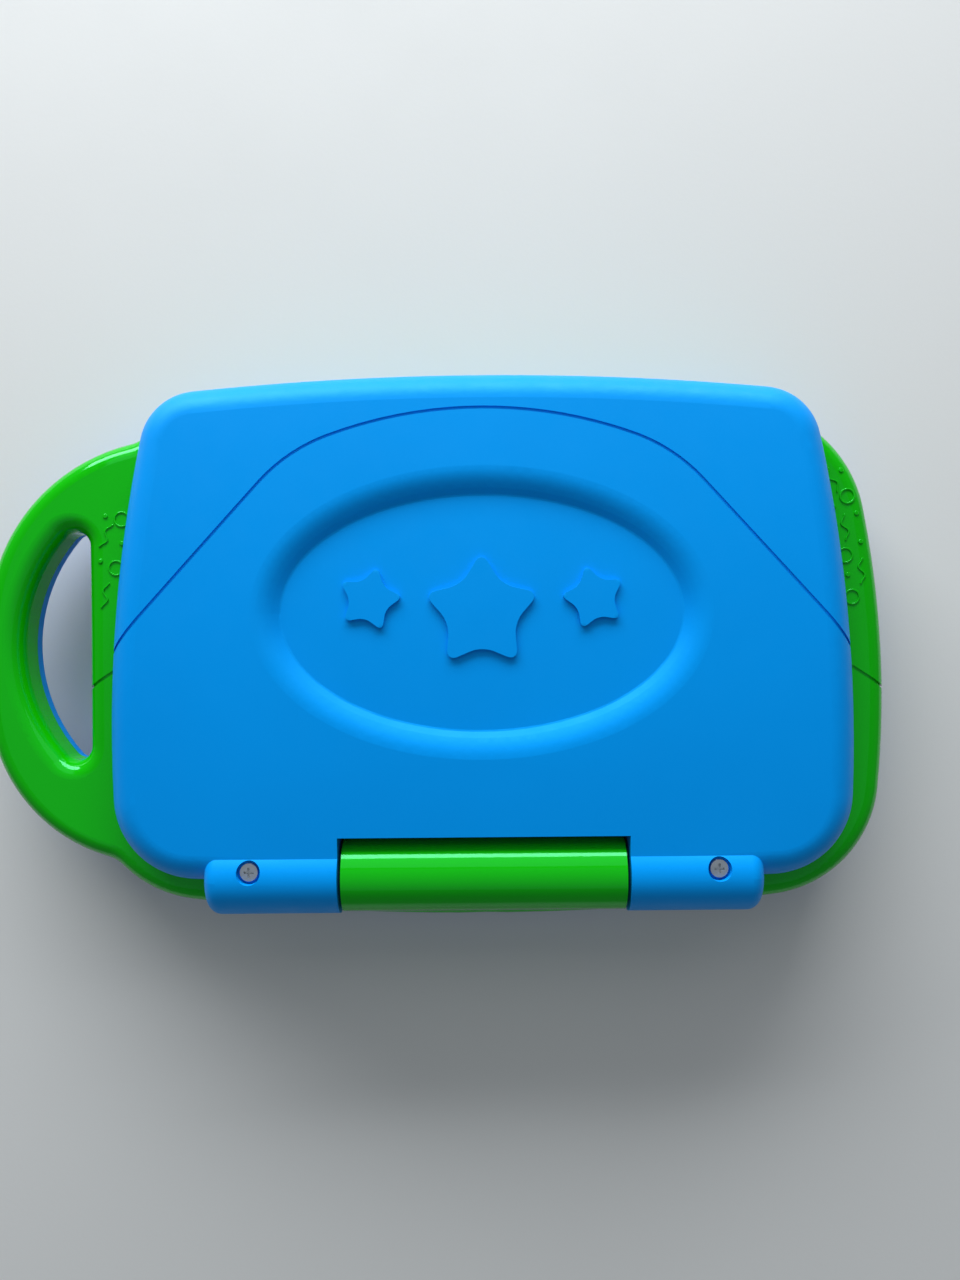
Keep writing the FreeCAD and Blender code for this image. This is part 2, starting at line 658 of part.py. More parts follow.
def lid_outer_shell():
    """The blue outer shell of the lid with the upper halves of its knuckles."""
    knuckles = mirrored(knuckle())
    upper = [shape.cut(lower_half_space()) for shape in knuckles]
    hollow = lid_form(WALL).common(block(-FAR, FAR, -FAR, FAR, BEZEL_TOP_Z, LID_TOP_Z))
    notch_wall = hinge_notch().fuse(hinge_notch().translated(Vector(0, -WALL, 0)))
    keep = [
        dish(WALL),
        *upper,
        notch_wall.translated(Vector(WALL, 0, 0)),
        notch_wall.translated(Vector(-WALL, 0, 0)),
    ]
    bosses = [
        post(x, y, SMALL_SCREW_RADIUS + BOSS_WALL, BEZEL_TOP_Z, LID_TOP_Z)
        for x, y in both_sides(LID_SCREW_PLACES)
    ]
    hollow = without(hollow, keep + bosses)
    body = lid_form(0).cut(block(-FAR, FAR, -FAR, FAR, LID_Z, BEZEL_TOP_Z))
    body = body.cut(dish(0))
    ring = [edge for floor in crown_faces(body, DISH_DEPTH) for edge in floor.Edges]
    body = body.makeFillet(DISH_FLOOR_RADIUS, ring)
    inner = [wire for top in crown_faces(body, 0) for wire in top.Wires if not wire.isSame(top.OuterWire)]
    body = body.makeFillet(DISH_RIM_RADIUS, [edge for wire in inner for edge in wire.Edges])
    body = fused([body, *upper])
    lower_room = rod(KNUCKLE_X, KNUCKLE_X + KNUCKLE_LENGTH + SEAT_GAP, KNUCKLE_RADIUS + SEAT_GAP)
    lower_room = lower_room.common(lower_half_space())
    recess = post(HINGE_SCREW_X, HINGE_SCREW_Y, HINGE_SCREW_RECESS, hinge_screw_seat(), LID_TOP_Z + WALL)
    pilots = [
        post(x, y, SMALL_SCREW_RADIUS + SEAT_GAP, BEZEL_TOP_Z, BEZEL_TOP_Z + LID_SCREW_LENGTH)
        for x, y in both_sides(LID_SCREW_PLACES)
    ]
    cuts = [hollow, hinge_notch(), lid_groove(), *pilots, *mirrored(lower_room), *mirrored(recess)]
    for shape in knuckle_hollows():
        cuts += mirrored(shape)
    return without(body, cuts)


def screen_block(width, depth, z0, z1, radius):
    """A plate on the screen's centre."""
    return rounded_block(-width / 2, width / 2, SCREEN_CENTRE_Y - depth / 2, SCREEN_CENTRE_Y + depth / 2,
                         z0, z1, radius)


def display_posts():
    """The places of the posts that carry the display board."""
    return both_sides([(DISPLAY_POST_X, SCREEN_CENTRE_Y + side * DISPLAY_POST_DY) for side in (1, -1)])


def lid_inner_bezel():
    """The lid's inner face around the screen, with the lower halves of its knuckles."""
    lower = [shape.common(lower_half_space()) for shape in mirrored(knuckle())]
    plate = lid_prism(0, LID_Z, BEZEL_TOP_Z)
    posts = [
        post(x, y, SMALL_SCREW_RADIUS + BOSS_WALL, BEZEL_TOP_Z, DISPLAY_BOARD_Z) for x, y in display_posts()
    ]
    body = fused([plate.cut(hinge_notch()), *lower, *posts])
    cuts = [screen_block(WINDOW_WIDTH, WINDOW_DEPTH, LID_Z, BEZEL_TOP_Z, WINDOW_CORNER)]
    for x, y in both_sides(LID_SCREW_PLACES):
        cuts.append(post(x, y, SMALL_SCREW_RADIUS + SEAT_GAP, LID_Z, BEZEL_TOP_Z))
        cuts.append(post(x, y, SMALL_HEAD_RADIUS + RUNNING_GAP, LID_Z, LID_Z + SMALL_HEAD_HEIGHT))
    for x, y in display_posts():
        cuts.append(post(x, y, SMALL_SCREW_RADIUS + SEAT_GAP, BEZEL_TOP_Z, DISPLAY_BOARD_Z))
    for shape in knuckle_hollows():
        cuts += mirrored(shape)
    return without(body, cuts)


def lid_screws():
    """Screws that hold the bezel to the outer shell, and the display board to the bezel."""
    sizes = (SMALL_HEAD_RADIUS, SMALL_HEAD_HEIGHT, SMALL_SCREW_RADIUS)
    seat = LID_Z + SMALL_HEAD_HEIGHT
    bezel = [screw(x, y, seat, LID_SCREW_LENGTH, True, *sizes) for x, y in both_sides(LID_SCREW_PLACES)]
    board = [screw(x, y, DISPLAY_BOARD_TOP_Z, LID_SCREW_LENGTH, False, *sizes) for x, y in display_posts()]
    return bezel + board


def lcd_frame():
    """The frame that holds the LCD panel on its lens, under the display board."""
    width = WINDOW_WIDTH + 2 * LCD_OVERLAP
    depth = WINDOW_DEPTH + 2 * LCD_OVERLAP
    wall = 2 * LCD_FRAME_WALL
    gap = 2 * SEAT_GAP
    outer = screen_block(width + wall, depth + wall, LENS_TOP_Z, DISPLAY_BOARD_Z, WINDOW_CORNER)
    seat = screen_block(width + gap, depth + gap, LENS_TOP_Z, LCD_TOP_Z, WINDOW_CORNER / 2)
    through = screen_block(WINDOW_WIDTH, WINDOW_DEPTH, LENS_TOP_Z, DISPLAY_BOARD_Z, WINDOW_CORNER)
    return without(outer, [seat, through])


def display_board():
    """The small board behind the screen."""
    half_width = max(DISPLAY_POST_X + DISPLAY_BOARD_MARGIN, CABLE_LID_X + CABLE_RADIUS)
    depth = 2 * (DISPLAY_BOARD_REAR_Y - SCREEN_CENTRE_Y)
    plate = screen_block(2 * half_width, depth, DISPLAY_BOARD_Z, DISPLAY_BOARD_TOP_Z, SMALL_HEAD_RADIUS)
    holes = [
        post(x, y, SMALL_SCREW_RADIUS + SEAT_GAP, DISPLAY_BOARD_Z, DISPLAY_BOARD_TOP_Z)
        for x, y in display_posts()
    ]
    return without(plate, holes)


def build_lid():
    """Write every piece that moves with the lid."""
    save("lid_outer_shell", lid_outer_shell())
    save("lid_inner_bezel", lid_inner_bezel())
    lens = 2 * LENS_OVERLAP
    save("screen_lens", screen_block(WINDOW_WIDTH + lens, WINDOW_DEPTH + lens, BEZEL_TOP_Z, LENS_TOP_Z,
                                     WINDOW_CORNER))
    lcd = 2 * LCD_OVERLAP
    save("lcd_panel", screen_block(WINDOW_WIDTH + lcd, WINDOW_DEPTH + lcd, LENS_TOP_Z, LCD_TOP_Z,
                                   WINDOW_CORNER / 2))
    save("lcd_frame", lcd_frame())
    save("display_board", display_board())
    save("lid_screws", *lid_screws())
    save("lid_bumpers", *[
        post(x, y, BUMPER_RADIUS, DECK_Z + SEAT_GAP, LID_Z) for x, y in both_sides(BUMPER_PLACES)
    ])
    save("hinge_screws", *mirrored(
        screw(HINGE_SCREW_X, HINGE_SCREW_Y, hinge_screw_seat(), HINGE_SCREW_LENGTH, False,
              SCREW_HEAD_RADIUS, SCREW_HEAD_HEIGHT, SCREW_RADIUS)))
    save("display_cable_lid_end", lid_cable())


# Cable

def cable_tube(points):
    """A round cable along straight runs with rounded bends."""
    runs = []
    start = points[0]
    for corner, after in zip(points[1:-1], points[2:]):
        back = (start - corner).normalize()
        ahead = (after - corner).normalize()
        bend_in = corner + back * CABLE_BEND
        bend_out = corner + ahead * CABLE_BEND
        middle = (back + ahead).normalize()
        half = back.getAngle(ahead) / 2
        radius = CABLE_BEND * math.tan(half)
        waist = corner + middle * (radius / math.sin(half) - radius)
        runs += [Part.makeLine(start, bend_in), Part.Arc(bend_in, waist, bend_out).toShape()]
        start = bend_out
    runs.append(Part.makeLine(start, points[-1]))
    spine = Part.Wire(runs)
    ring = Part.Wire(Part.makeCircle(CABLE_RADIUS, points[0], points[1] - points[0]))
    return spine.makePipeShell([ring], True, False)


def hinge_split_x():
    """Where the cable passes from the base to the lid, between barrel and knuckle."""
    return BARREL_HALF_LENGTH + HINGE_END_GAP / 2


def base_cable():
    """The display cable from the main board up into the hinge barrel."""
    run_z = BOARD_Z + BOARD_THICKNESS / 2
    board_y = PANEL_REAR_Y - BOARD_MARGIN
    return cable_tube([
        Vector(CABLE_X, board_y + SEAT_GAP, run_z),
        Vector(CABLE_X, HINGE_Y, run_z),
        Vector(CABLE_TURN_X, HINGE_Y, run_z),
        Vector(CABLE_TURN_X, HINGE_Y, HINGE_Z),
        Vector(hinge_split_x() - CABLE_SPLIT_GAP, HINGE_Y, HINGE_Z),
    ])


def lid_cable():
    """The display cable's lid end, from the hinge pin to the edge of the display board."""
    end_z = DISPLAY_BOARD_Z + BOARD_THICKNESS / 2
    return cable_tube([
        Vector(hinge_split_x() + CABLE_SPLIT_GAP, HINGE_Y, HINGE_Z),
        Vector(CABLE_LID_X, HINGE_Y, HINGE_Z),
        Vector(CABLE_LID_X, CABLE_RISE_Y + CABLE_END_RUN, HINGE_Z),
        Vector(CABLE_LID_X, CABLE_RISE_Y, end_z),
        Vector(CABLE_LID_X, DISPLAY_BOARD_REAR_Y + SEAT_GAP, end_z),
    ])


# Base

def hinge_barrel():
    """The base's hinge barrel, hollow, with end walls for the pins."""
    return rod(-BARREL_HALF_LENGTH, BARREL_HALF_LENGTH, BARREL_RADIUS)


def deck_grooves():
    """The grooves across both sides of the deck."""
    slant = math.radians(180 + DECK_GROOVE_SLANT)
    run = DECK_GROOVE_RUN + DECK_GROOVE_OVERRUN
    start = Vector(BASE_HALF_WIDTH, DECK_GROOVE_Y, 0) - Vector(math.cos(slant), math.sin(slant), 0) * (
        DECK_GROOVE_OVERRUN)
    band = groove_band(start, slant, ((run, 0),), SPLIT_Z + WALL, DECK_Z)
    return [shape.cut(upper_form(GROOVE_DEPTH)) for shape in mirrored(band)]


def panel_block(margin, z0, z1):
    """The keyboard's panel, wider than the deck's opening by a margin."""
    return rounded_block(-PANEL_HALF_WIDTH - margin, PANEL_HALF_WIDTH + margin, PANEL_FRONT_Y - margin,
                         PANEL_REAR_Y + margin, z0, z1, PANEL_CORNER + margin)


def peg_places():
    """Where the keyboard plate is staked to the deck."""
    half = PLATE_RIM / 2
    ends = [(side * x, y) for y in (PANEL_FRONT_Y - half, PANEL_REAR_Y + half)
            for x in (PEG_INSET_X, 0) for side in (1, -1) if x or side > 0]
    sides = both_sides([(PANEL_HALF_WIDTH + half, TOP_ROW_Y - KEY_PITCH_Y)])
    return ends + sides


def grille_places():
    """Sound holes on rings around the speaker's centre."""
    places = [(SPEAKER_X, SPEAKER_Y)]
    for ring in range(1, GRILLE_RINGS + 1):
        count = GRILLE_FIRST_RING * ring
        for step in range(count):
            angle = 2 * math.pi * step / count
            places.append((SPEAKER_X + ring * GRILLE_PITCH * math.cos(angle),
                           SPEAKER_Y + ring * GRILLE_PITCH * math.sin(angle)))
    return places


def speaker_screw_places():
    """Screws around the speaker's rim."""
    reach = SPEAKER_RADIUS + SPEAKER_SCREW_OFFSET
    turns = [math.radians(angle) for angle in SPEAKER_SCREW_ANGLES]
    return [(SPEAKER_X + reach * math.cos(turn), SPEAKER_Y + reach * math.sin(turn)) for turn in turns]


def slider_slot(length, width, corner, z0, z1):
    """A rounded opening on the slider's path."""
    middle = SLIDER_X + SLIDER_TRAVEL / 2
    return rounded_block(middle - length / 2, middle + length / 2,
                         SLIDER_Y - width / 2, SLIDER_Y + width / 2, z0, z1, corner)


def switch_ear_places():
    """The two screws of the power switch."""
    middle = SLIDER_X + SLIDER_TRAVEL / 2
    reach = (SWITCH_LENGTH + SWITCH_EAR) / 2
    return [(middle - reach, SLIDER_Y), (middle + reach, SLIDER_Y)]


def switch_top():
    """The top of the power switch, just under the slider's clip."""
    return DECK_UNDER_Z - RUNNING_GAP - SLIDER_CLIP - RUNNING_GAP


def upper_shell_additions():
    """Bosses, pegs, rings and posts inside the base's upper shell."""
    boss = SCREW_RADIUS + BOSS_WALL
    small_boss = SMALL_SCREW_RADIUS + BOSS_WALL
    parts = [post(x, y, boss, SPLIT_Z, DECK_UNDER_Z) for x, y in both_sides(BASE_SCREW_PLACES)]
    parts += [post(x, y, PEG_RADIUS, DECK_UNDER_Z - PEG_LENGTH, DECK_UNDER_Z) for x, y in peg_places()]
    ring = post(SPEAKER_X, SPEAKER_Y, SPEAKER_RADIUS + RUNNING_GAP + THIN_WALL,
                DECK_UNDER_Z - SPEAKER_FLANGE, DECK_UNDER_Z)
    parts += [post(x, y, small_boss, DECK_UNDER_Z - SPEAKER_FLANGE, DECK_UNDER_Z)
              for x, y in speaker_screw_places()]
    ears = switch_top() - SWITCH_HEIGHT + SWITCH_EAR_THICKNESS
    parts += [post(x, y, small_boss, ears, DECK_UNDER_Z) for x, y in switch_ear_places()]
    return [*parts, ring]


def base_top_shell():
    """The green upper shell: deck, hinge barrel, knuckle troughs and the handle's upper half."""
    trough = rod(BARREL_HALF_LENGTH, TROUGH_END_X, TROUGH_RADIUS)
    trough_wall = rod(BARREL_HALF_LENGTH - WALL, TROUGH_END_X + WALL, TROUGH_RADIUS + WALL)
    hollow = without(upper_form(WALL), mirrored(trough_wall))
    body = upper_form(0).cut(hollow)
    body = fused([body, hinge_barrel(), *upper_shell_additions()])
    wire_way = block(CABLE_TURN_X - CABLE_BEND, CABLE_TURN_X + CABLE_BEND, HINGE_Y - CABLE_BEND,
                     HINGE_Y + CABLE_BEND, SPLIT_Z, HINGE_Z)
    cuts = [
        rod(-BARREL_HALF_LENGTH + BARREL_END_WALL, BARREL_HALF_LENGTH - BARREL_END_WALL, BARREL_BORE),
        rod(-BARREL_HALF_LENGTH, BARREL_HALF_LENGTH, PIN_RADIUS + SEAT_GAP),
        wire_way,
        *mirrored(trough),
        *deck_grooves(),
        panel_block(0, DECK_UNDER_Z, DECK_Z),
        post(SPEAKER_X, SPEAKER_Y, SPEAKER_RADIUS + RUNNING_GAP, SPLIT_Z, DECK_UNDER_Z),
        slider_slot(SLIDER_LENGTH + SLIDER_TRAVEL + 2 * SLIDER_CLIP_MARGIN,
                    SLIDER_WIDTH + 2 * SLIDER_CLIP_MARGIN, SLIDER_WIDTH / 2,
                    DECK_Z - SLIDER_POCKET_DEPTH, DECK_Z),
        slider_slot(SLIDER_STEM_LENGTH + SLIDER_TRAVEL + 2 * RUNNING_GAP,
                    SLIDER_STEM_WIDTH + 2 * RUNNING_GAP, RUNNING_GAP, DECK_UNDER_Z, DECK_Z),
    ]
    cuts += [post(x, y, GRILLE_HOLE, DECK_UNDER_Z, DECK_Z) for x, y in grille_places()]
    cuts += [post(x, y, SCREW_RADIUS + SEAT_GAP, SPLIT_Z, SPLIT_Z + BASE_SCREW_GRIP)
             for x, y in both_sides(BASE_SCREW_PLACES)]
    small = SMALL_SCREW_RADIUS + SEAT_GAP
    cuts += [post(x, y, small, SPLIT_Z, DECK_UNDER_Z - SPEAKER_FLANGE + SPEAKER_SCREW_LENGTH)
             for x, y in speaker_screw_places()]
    cuts += [post(x, y, small, SPLIT_Z, DECK_UNDER_Z) for x, y in switch_ear_places()]
    return without(body, cuts)


def bay_block(margin, z0, z1):
    """The battery bay's box, made larger by a margin."""
    half_length = BAY_HALF_LENGTH + margin
    half_width = BAY_HALF_WIDTH + margin
    return block(-half_length, half_length, BAY_CENTRE_Y - half_width, BAY_CENTRE_Y + half_width, z0, z1)


def door_form(gap):
    """The battery door with its screw tab and two tongues, made larger by a gap."""
    edge = BAY_HALF_LENGTH + THIN_WALL
    parts = [
        bay_block(THIN_WALL + gap, FLOOR_Z, DOOR_TOP_Z),
        block(edge - THIN_WALL, edge + DOOR_TAB_LENGTH + gap, BAY_CENTRE_Y - DOOR_TAB_WIDTH / 2 - gap,
              BAY_CENTRE_Y + DOOR_TAB_WIDTH / 2 + gap, FLOOR_Z, DOOR_TOP_Z),
    ]
    tongue_z = DOOR_TOP_Z - DOOR_TONGUE_THICKNESS - gap
    for side in (1, -1):
        middle = BAY_CENTRE_Y + side * DOOR_TONGUE_Y
        half = DOOR_TONGUE_WIDTH / 2 + gap
        parts.append(block(-edge - DOOR_TONGUE - gap, -edge + THIN_WALL, middle - half, middle + half,
                           tongue_z, DOOR_TOP_Z))
    return fused(parts)


def battery_door():
    """The battery door, screwed at its tab."""
    hole = post(DOOR_SCREW_X, BAY_CENTRE_Y, SCREW_RADIUS + SEAT_GAP, FLOOR_Z, DOOR_TOP_Z)
    sink = post(DOOR_SCREW_X, BAY_CENTRE_Y, SMALL_HEAD_RADIUS + SEAT_GAP,
                FLOOR_Z, FLOOR_Z + SMALL_HEAD_HEIGHT)
    return without(door_form(0), [hole, sink])


def base_bottom_shell():
    """The blue lower shell: belly, battery bay and the handle's lower half."""
    body = lower_form(SHELL_STEP, 0).cut(lower_form(SHELL_STEP + WALL, WALL))
    edge = BAY_HALF_LENGTH + THIN_WALL
    pad_top = DOOR_TOP_Z + DOOR_PAD_HEIGHT
    boss = SCREW_RADIUS + BOSS_WALL
    tongue_half = DOOR_TONGUE_Y + DOOR_TONGUE_WIDTH / 2 + THIN_WALL
    additions = [
        bay_block(THIN_WALL, FLOOR_Z, BAY_TOP_Z + THIN_WALL),
        block(edge, edge + DOOR_TAB_LENGTH + THIN_WALL, BAY_CENTRE_Y - DOOR_TAB_WIDTH / 2 - THIN_WALL,
              BAY_CENTRE_Y + DOOR_TAB_WIDTH / 2 + THIN_WALL, FLOOR_Z, pad_top),
        block(-edge - DOOR_TONGUE - THIN_WALL, -edge,
              BAY_CENTRE_Y - tongue_half, BAY_CENTRE_Y + tongue_half, FLOOR_Z, pad_top),
    ]
    additions += [post(x, y, SCREW_HEAD_RADIUS + BOSS_WALL, FLOOR_Z, SPLIT_Z)
                  for x, y in both_sides(BASE_SCREW_PLACES)]
    body = fused([body, *additions])
    cuts = [
        bay_block(0, FLOOR_Z, BAY_TOP_Z),
        door_form(DOOR_GAP),
        post(DOOR_SCREW_X, BAY_CENTRE_Y, SCREW_RADIUS + SEAT_GAP, FLOOR_Z, pad_top),
    ]
    for x, y in both_sides(BASE_SCREW_PLACES):
        cuts.append(post(x, y, SCREW_HEAD_RADIUS + RUNNING_GAP, FLOOR_Z, FLOOR_Z + BASE_SCREW_SINK))
        cuts.append(post(x, y, SCREW_RADIUS + SEAT_GAP, FLOOR_Z, SPLIT_Z))
    cuts += [post(x, y, FOOT_RADIUS + SEAT_GAP, FLOOR_Z, FLOOR_Z + FOOT_RECESS)
             for x, y in both_sides(FOOT_PLACES)]
    return without(body, cuts)


def base_screws():
    """The long screws that hold the two base shells together."""
    seat = FLOOR_Z + BASE_SCREW_SINK
    length = SPLIT_Z - seat + BASE_SCREW_GRIP
    return [screw(x, y, seat, length, True, SCREW_HEAD_RADIUS, SCREW_HEAD_HEIGHT, SCREW_RADIUS)
            for x, y in both_sides(BASE_SCREW_PLACES)]


# Keyboard

def button(width, depth, corner):
    """A key with a tapered, dished cap over a wider flange, centred on the origin in plan."""
    half_w, half_d = width / 2, depth / 2
    cap = rounded_block(-half_w, half_w, -half_d, half_d, FLANGE_TOP_Z, PLATE_Z + PLATE_THICKNESS, corner)
    rims = []
    for z, draw in ((PLATE_Z + PLATE_THICKNESS, 0), (KEY_TOP_Z, KEY_TAPER)):
        slab = rounded_block(draw - half_w, half_w - draw, draw - half_d, half_d - draw,
                             z, z + KEY_RISE, corner - draw)
        rims.append(next(face.OuterWire for face in slab.Faces if face.BoundBox.ZMax < z + SAME))
    top = Part.makeLoft(rims, True, True)
    top = top.makeFillet(KEY_EDGE_RADIUS, level_edges(top, KEY_TOP_Z))
    ball_z = KEY_TOP_Z - KEY_DISH_DEPTH + KEY_DISH_RADIUS
    top = top.cut(Part.makeSphere(KEY_DISH_RADIUS, Vector(0, 0, ball_z)))
    reach_w, reach_d = half_w + KEY_FLANGE, half_d + KEY_FLANGE
    flange = rounded_block(-reach_w, reach_w, -reach_d, reach_d, FLANGE_Z, FLANGE_TOP_Z, corner)
    return fused([flange, cap, top])


def key_places():
    """Every letter with its place, row by row from the rear."""
    places = {}
    for row, letters in enumerate(KEY_ROWS):
        for column, letter in enumerate(letters):
            x = (column - (len(letters) - 1) / 2) * KEY_PITCH_X
            places[letter] = (x, TOP_ROW_Y - row * KEY_PITCH_Y)
    return places


def mode_places():
    """The mode buttons' places, from left to right."""
    return [((index - (MODE_BUTTONS - 1) / 2) * MODE_PITCH, MODE_ROW_Y) for index in range(MODE_BUTTONS)]


def keyboard_plate():
    """The plate under the deck's opening that guides the keys and carries the main board."""
    def guide(x, y, width, depth, corner):
        half_w, half_d = width / 2 + RUNNING_GAP, depth / 2 + RUNNING_GAP
        return rounded_block(x - half_w, x + half_w, y - half_d, y + half_d, PLATE_Z, DECK_UNDER_Z,
                             corner + RUNNING_GAP)

    body = panel_block(PLATE_RIM, PLATE_Z, DECK_UNDER_Z)
    body = fused([body, *board_posts(SMALL_SCREW_RADIUS + BOSS_WALL, BOARD_TOP_Z, PLATE_Z)])
    cuts = board_posts(SMALL_SCREW_RADIUS + SEAT_GAP, BOARD_TOP_Z, PLATE_Z)
    cuts += [guide(x, y, KEY_WIDTH, KEY_DEPTH, KEY_CORNER) for x, y in key_places().values()]
    cuts += [guide(x, y, MODE_WIDTH, MODE_DEPTH, MODE_CORNER) for x, y in mode_places()]
    cuts += [post(x, y, PEG_RADIUS + SEAT_GAP, PLATE_Z, DECK_UNDER_Z) for x, y in peg_places()]
    return without(body, cuts)


def board_outline(z0, z1):
    """The main board's outline, which the dome sheet shares."""
    return panel_block(-BOARD_MARGIN, z0, z1)


def board_posts(radius, z0, z1):
    """Upright cylinders on the places of the posts that carry the main board."""
    return [post(x, y, radius, z0, z1) for x, y in both_sides(BOARD_POSTS)]


def dome_membrane():
    """The silicone sheet with a dome under every key."""
    sheet = board_outline(BOARD_TOP_Z, SHEET_TOP_Z)
    places = [*key_places().values(), *mode_places()]
    domes = [
        Part.makeCone(DOME_RADIUS, DOME_TIP_RADIUS, DOME_HEIGHT, Vector(x, y, SHEET_TOP_Z))
        for x, y in places
    ]
    body = sheet.multiFuse(domes)
    return without(body, board_posts(SMALL_SCREW_RADIUS + BOSS_WALL + RUNNING_GAP, BOARD_TOP_Z, SHEET_TOP_Z))


def main_board():
    """The main circuit board under the keyboard."""
    return without(board_outline(BOARD_Z, BOARD_TOP_Z),
                   board_posts(SMALL_SCREW_RADIUS + SEAT_GAP, BOARD_Z, BOARD_TOP_Z))


def board_chips():
    """The chips under the main board."""
    half = CHIP_SIZE / 2
    low_z = BOARD_Z - CHIP_HEIGHT
    return [block(x - half, x + half, y - half, y + half, low_z, BOARD_Z) for x, y in CHIP_PLACES]


def board_screws():
    """Screws of the main board and of the power switch."""
    sizes = (SMALL_HEAD_RADIUS, SMALL_HEAD_HEIGHT, SMALL_SCREW_RADIUS)
    ear_z = switch_top() - SWITCH_HEIGHT
    screws = [screw(x, y, BOARD_Z, LID_SCREW_LENGTH, True, *sizes) for x, y in both_sides(BOARD_POSTS)]
    return screws + [screw(x, y, ear_z, LID_SCREW_LENGTH, True, *sizes) for x, y in switch_ear_places()]


def build_keyboard():
    """Write the keyboard's plate, keys, dome sheet and board."""
    save("keyboard_plate", keyboard_plate())
    save("dome_membrane", dome_membrane())
    save("main_board", main_board())
    save("board_chips", *board_chips())
    save("board_screws", *board_screws())
    key = button(KEY_WIDTH, KEY_DEPTH, KEY_CORNER)
    for letter, (x, y) in key_places().items():
        save(f"key_{letter}", key.translated(Vector(x, y, 0)))
    pill = button(MODE_WIDTH, MODE_DEPTH, MODE_CORNER)
    for index, (x, y) in enumerate(mode_places(), start=1):
        save(f"mode_button_{index}", pill.translated(Vector(x, y, 0)))


# Speaker, switch and battery

def speaker():
    """A round speaker with a flange, basket, magnet and a hollow cone."""
    top = DECK_UNDER_Z
    basket_z = top - SPEAKER_FLANGE - SPEAKER_BASKET
    profile = Part.makePolygon([
        Vector(0, 0, basket_z - MAGNET_HEIGHT),
        Vector(MAGNET_RADIUS, 0, basket_z - MAGNET_HEIGHT),
        Vector(MAGNET_RADIUS, 0, basket_z),
        Vector(SPEAKER_RADIUS - SPEAKER_RIM, 0, top - SPEAKER_FLANGE),
        Vector(SPEAKER_RADIUS, 0, top - SPEAKER_FLANGE),
        Vector(SPEAKER_RADIUS, 0, top),
        Vector(SPEAKER_RADIUS - SPEAKER_RIM, 0, top),
        Vector(SPEAKER_DUST_CAP, 0, top - SPEAKER_CONE_DEPTH),
        Vector(0, 0, top - SPEAKER_CONE_DEPTH / 2),
        Vector(0, 0, basket_z - MAGNET_HEIGHT),
    ])
    shape = Part.Face(profile).revolve(Vector(0, 0, 0), Z_AXIS, 360)
    return shape.translated(Vector(SPEAKER_X, SPEAKER_Y, 0))


def speaker_screws():
    """Wide-headed screws that clamp the speaker's flange."""
    return [screw(x, y, DECK_UNDER_Z - SPEAKER_FLANGE, SPEAKER_SCREW_LENGTH, True, SPEAKER_SCREW_HEAD,
                  SMALL_HEAD_HEIGHT, SMALL_SCREW_RADIUS) for x, y in speaker_screw_places()]


def power_slider():
    """The ribbed power slider with its stem and the clip that holds it under the deck."""
    floor = DECK_Z - SLIDER_POCKET_DEPTH + RUNNING_GAP
    half_l, half_w = SLIDER_LENGTH / 2, SLIDER_WIDTH / 2
    knob = rounded_block(SLIDER_X - half_l, SLIDER_X + half_l, SLIDER_Y - half_w, SLIDER_Y + half_w, floor,
                         DECK_Z + SLIDER_RISE, half_w - SEAT_GAP)
    ribs = []
    for index in range(SLIDER_RIBS):
        x = SLIDER_X + (index - (SLIDER_RIBS - 1) / 2) * SLIDER_RIB_PITCH
        ribs.append(block(x - SLIDER_RIB / 2, x + SLIDER_RIB / 2, SLIDER_Y - half_w, SLIDER_Y + half_w,
                          DECK_Z + SLIDER_RISE - SLIDER_RIB, DECK_Z + SLIDER_RISE))
    half_sl, half_sw = SLIDER_STEM_LENGTH / 2, SLIDER_STEM_WIDTH / 2
    clip_top = DECK_UNDER_Z - RUNNING_GAP
    stem = block(SLIDER_X - half_sl, SLIDER_X + half_sl, SLIDER_Y - half_sw, SLIDER_Y + half_sw,
                 clip_top, floor)
    reach = SLIDER_CLIP_MARGIN
    clip = block(SLIDER_X - half_sl - reach, SLIDER_X + half_sl + reach, SLIDER_Y - half_sw - reach,
                 SLIDER_Y + half_sw + reach, clip_top - SLIDER_CLIP, clip_top)
    return fused([without(knob, ribs), stem, clip])


def power_switch():
    """The slide switch under the slider, screwed to the deck by two ears."""
    middle = SLIDER_X + SLIDER_TRAVEL / 2
    top = switch_top()
    half_w = SWITCH_WIDTH / 2
    half_l = SWITCH_LENGTH / 2
    can = block(middle - half_l, middle + half_l, SLIDER_Y - half_w, SLIDER_Y + half_w,
                top - SWITCH_HEIGHT, top)
    reach = half_l + SWITCH_EAR
    ears = block(middle - reach, middle + reach, SLIDER_Y - half_w, SLIDER_Y + half_w, top - SWITCH_HEIGHT,
                 top - SWITCH_HEIGHT + SWITCH_EAR_THICKNESS)
    holes = [
        post(x, y, SMALL_SCREW_RADIUS + SEAT_GAP, top - SWITCH_HEIGHT, top) for x, y in switch_ear_places()
    ]
    return without(fused([can, ears]), holes)


def cell_rows():
    """The cells' rows with the way that each one points."""
    pitch = 2 * CELL_RADIUS + CELL_SPACING
    first_y = BAY_CENTRE_Y - (CELLS - 1) / 2 * pitch
    return [(first_y + index * pitch, 1 if index % 2 else -1) for index in range(CELLS)]


def aa_cells():
    """The cells, pointing in turn to either side."""
    cells = []
    for y, way in cell_rows():
        start = Vector(-way * CELL_LENGTH / 2, y, CELL_Z)
        body = Part.makeCylinder(CELL_RADIUS, CELL_LENGTH - CELL_NUB_LENGTH, start, X_AXIS * way)
        nub = Part.makeCylinder(CELL_NUB_RADIUS, CELL_LENGTH, start, X_AXIS * way)
        cells.append(fused([body, nub]))
    return cells


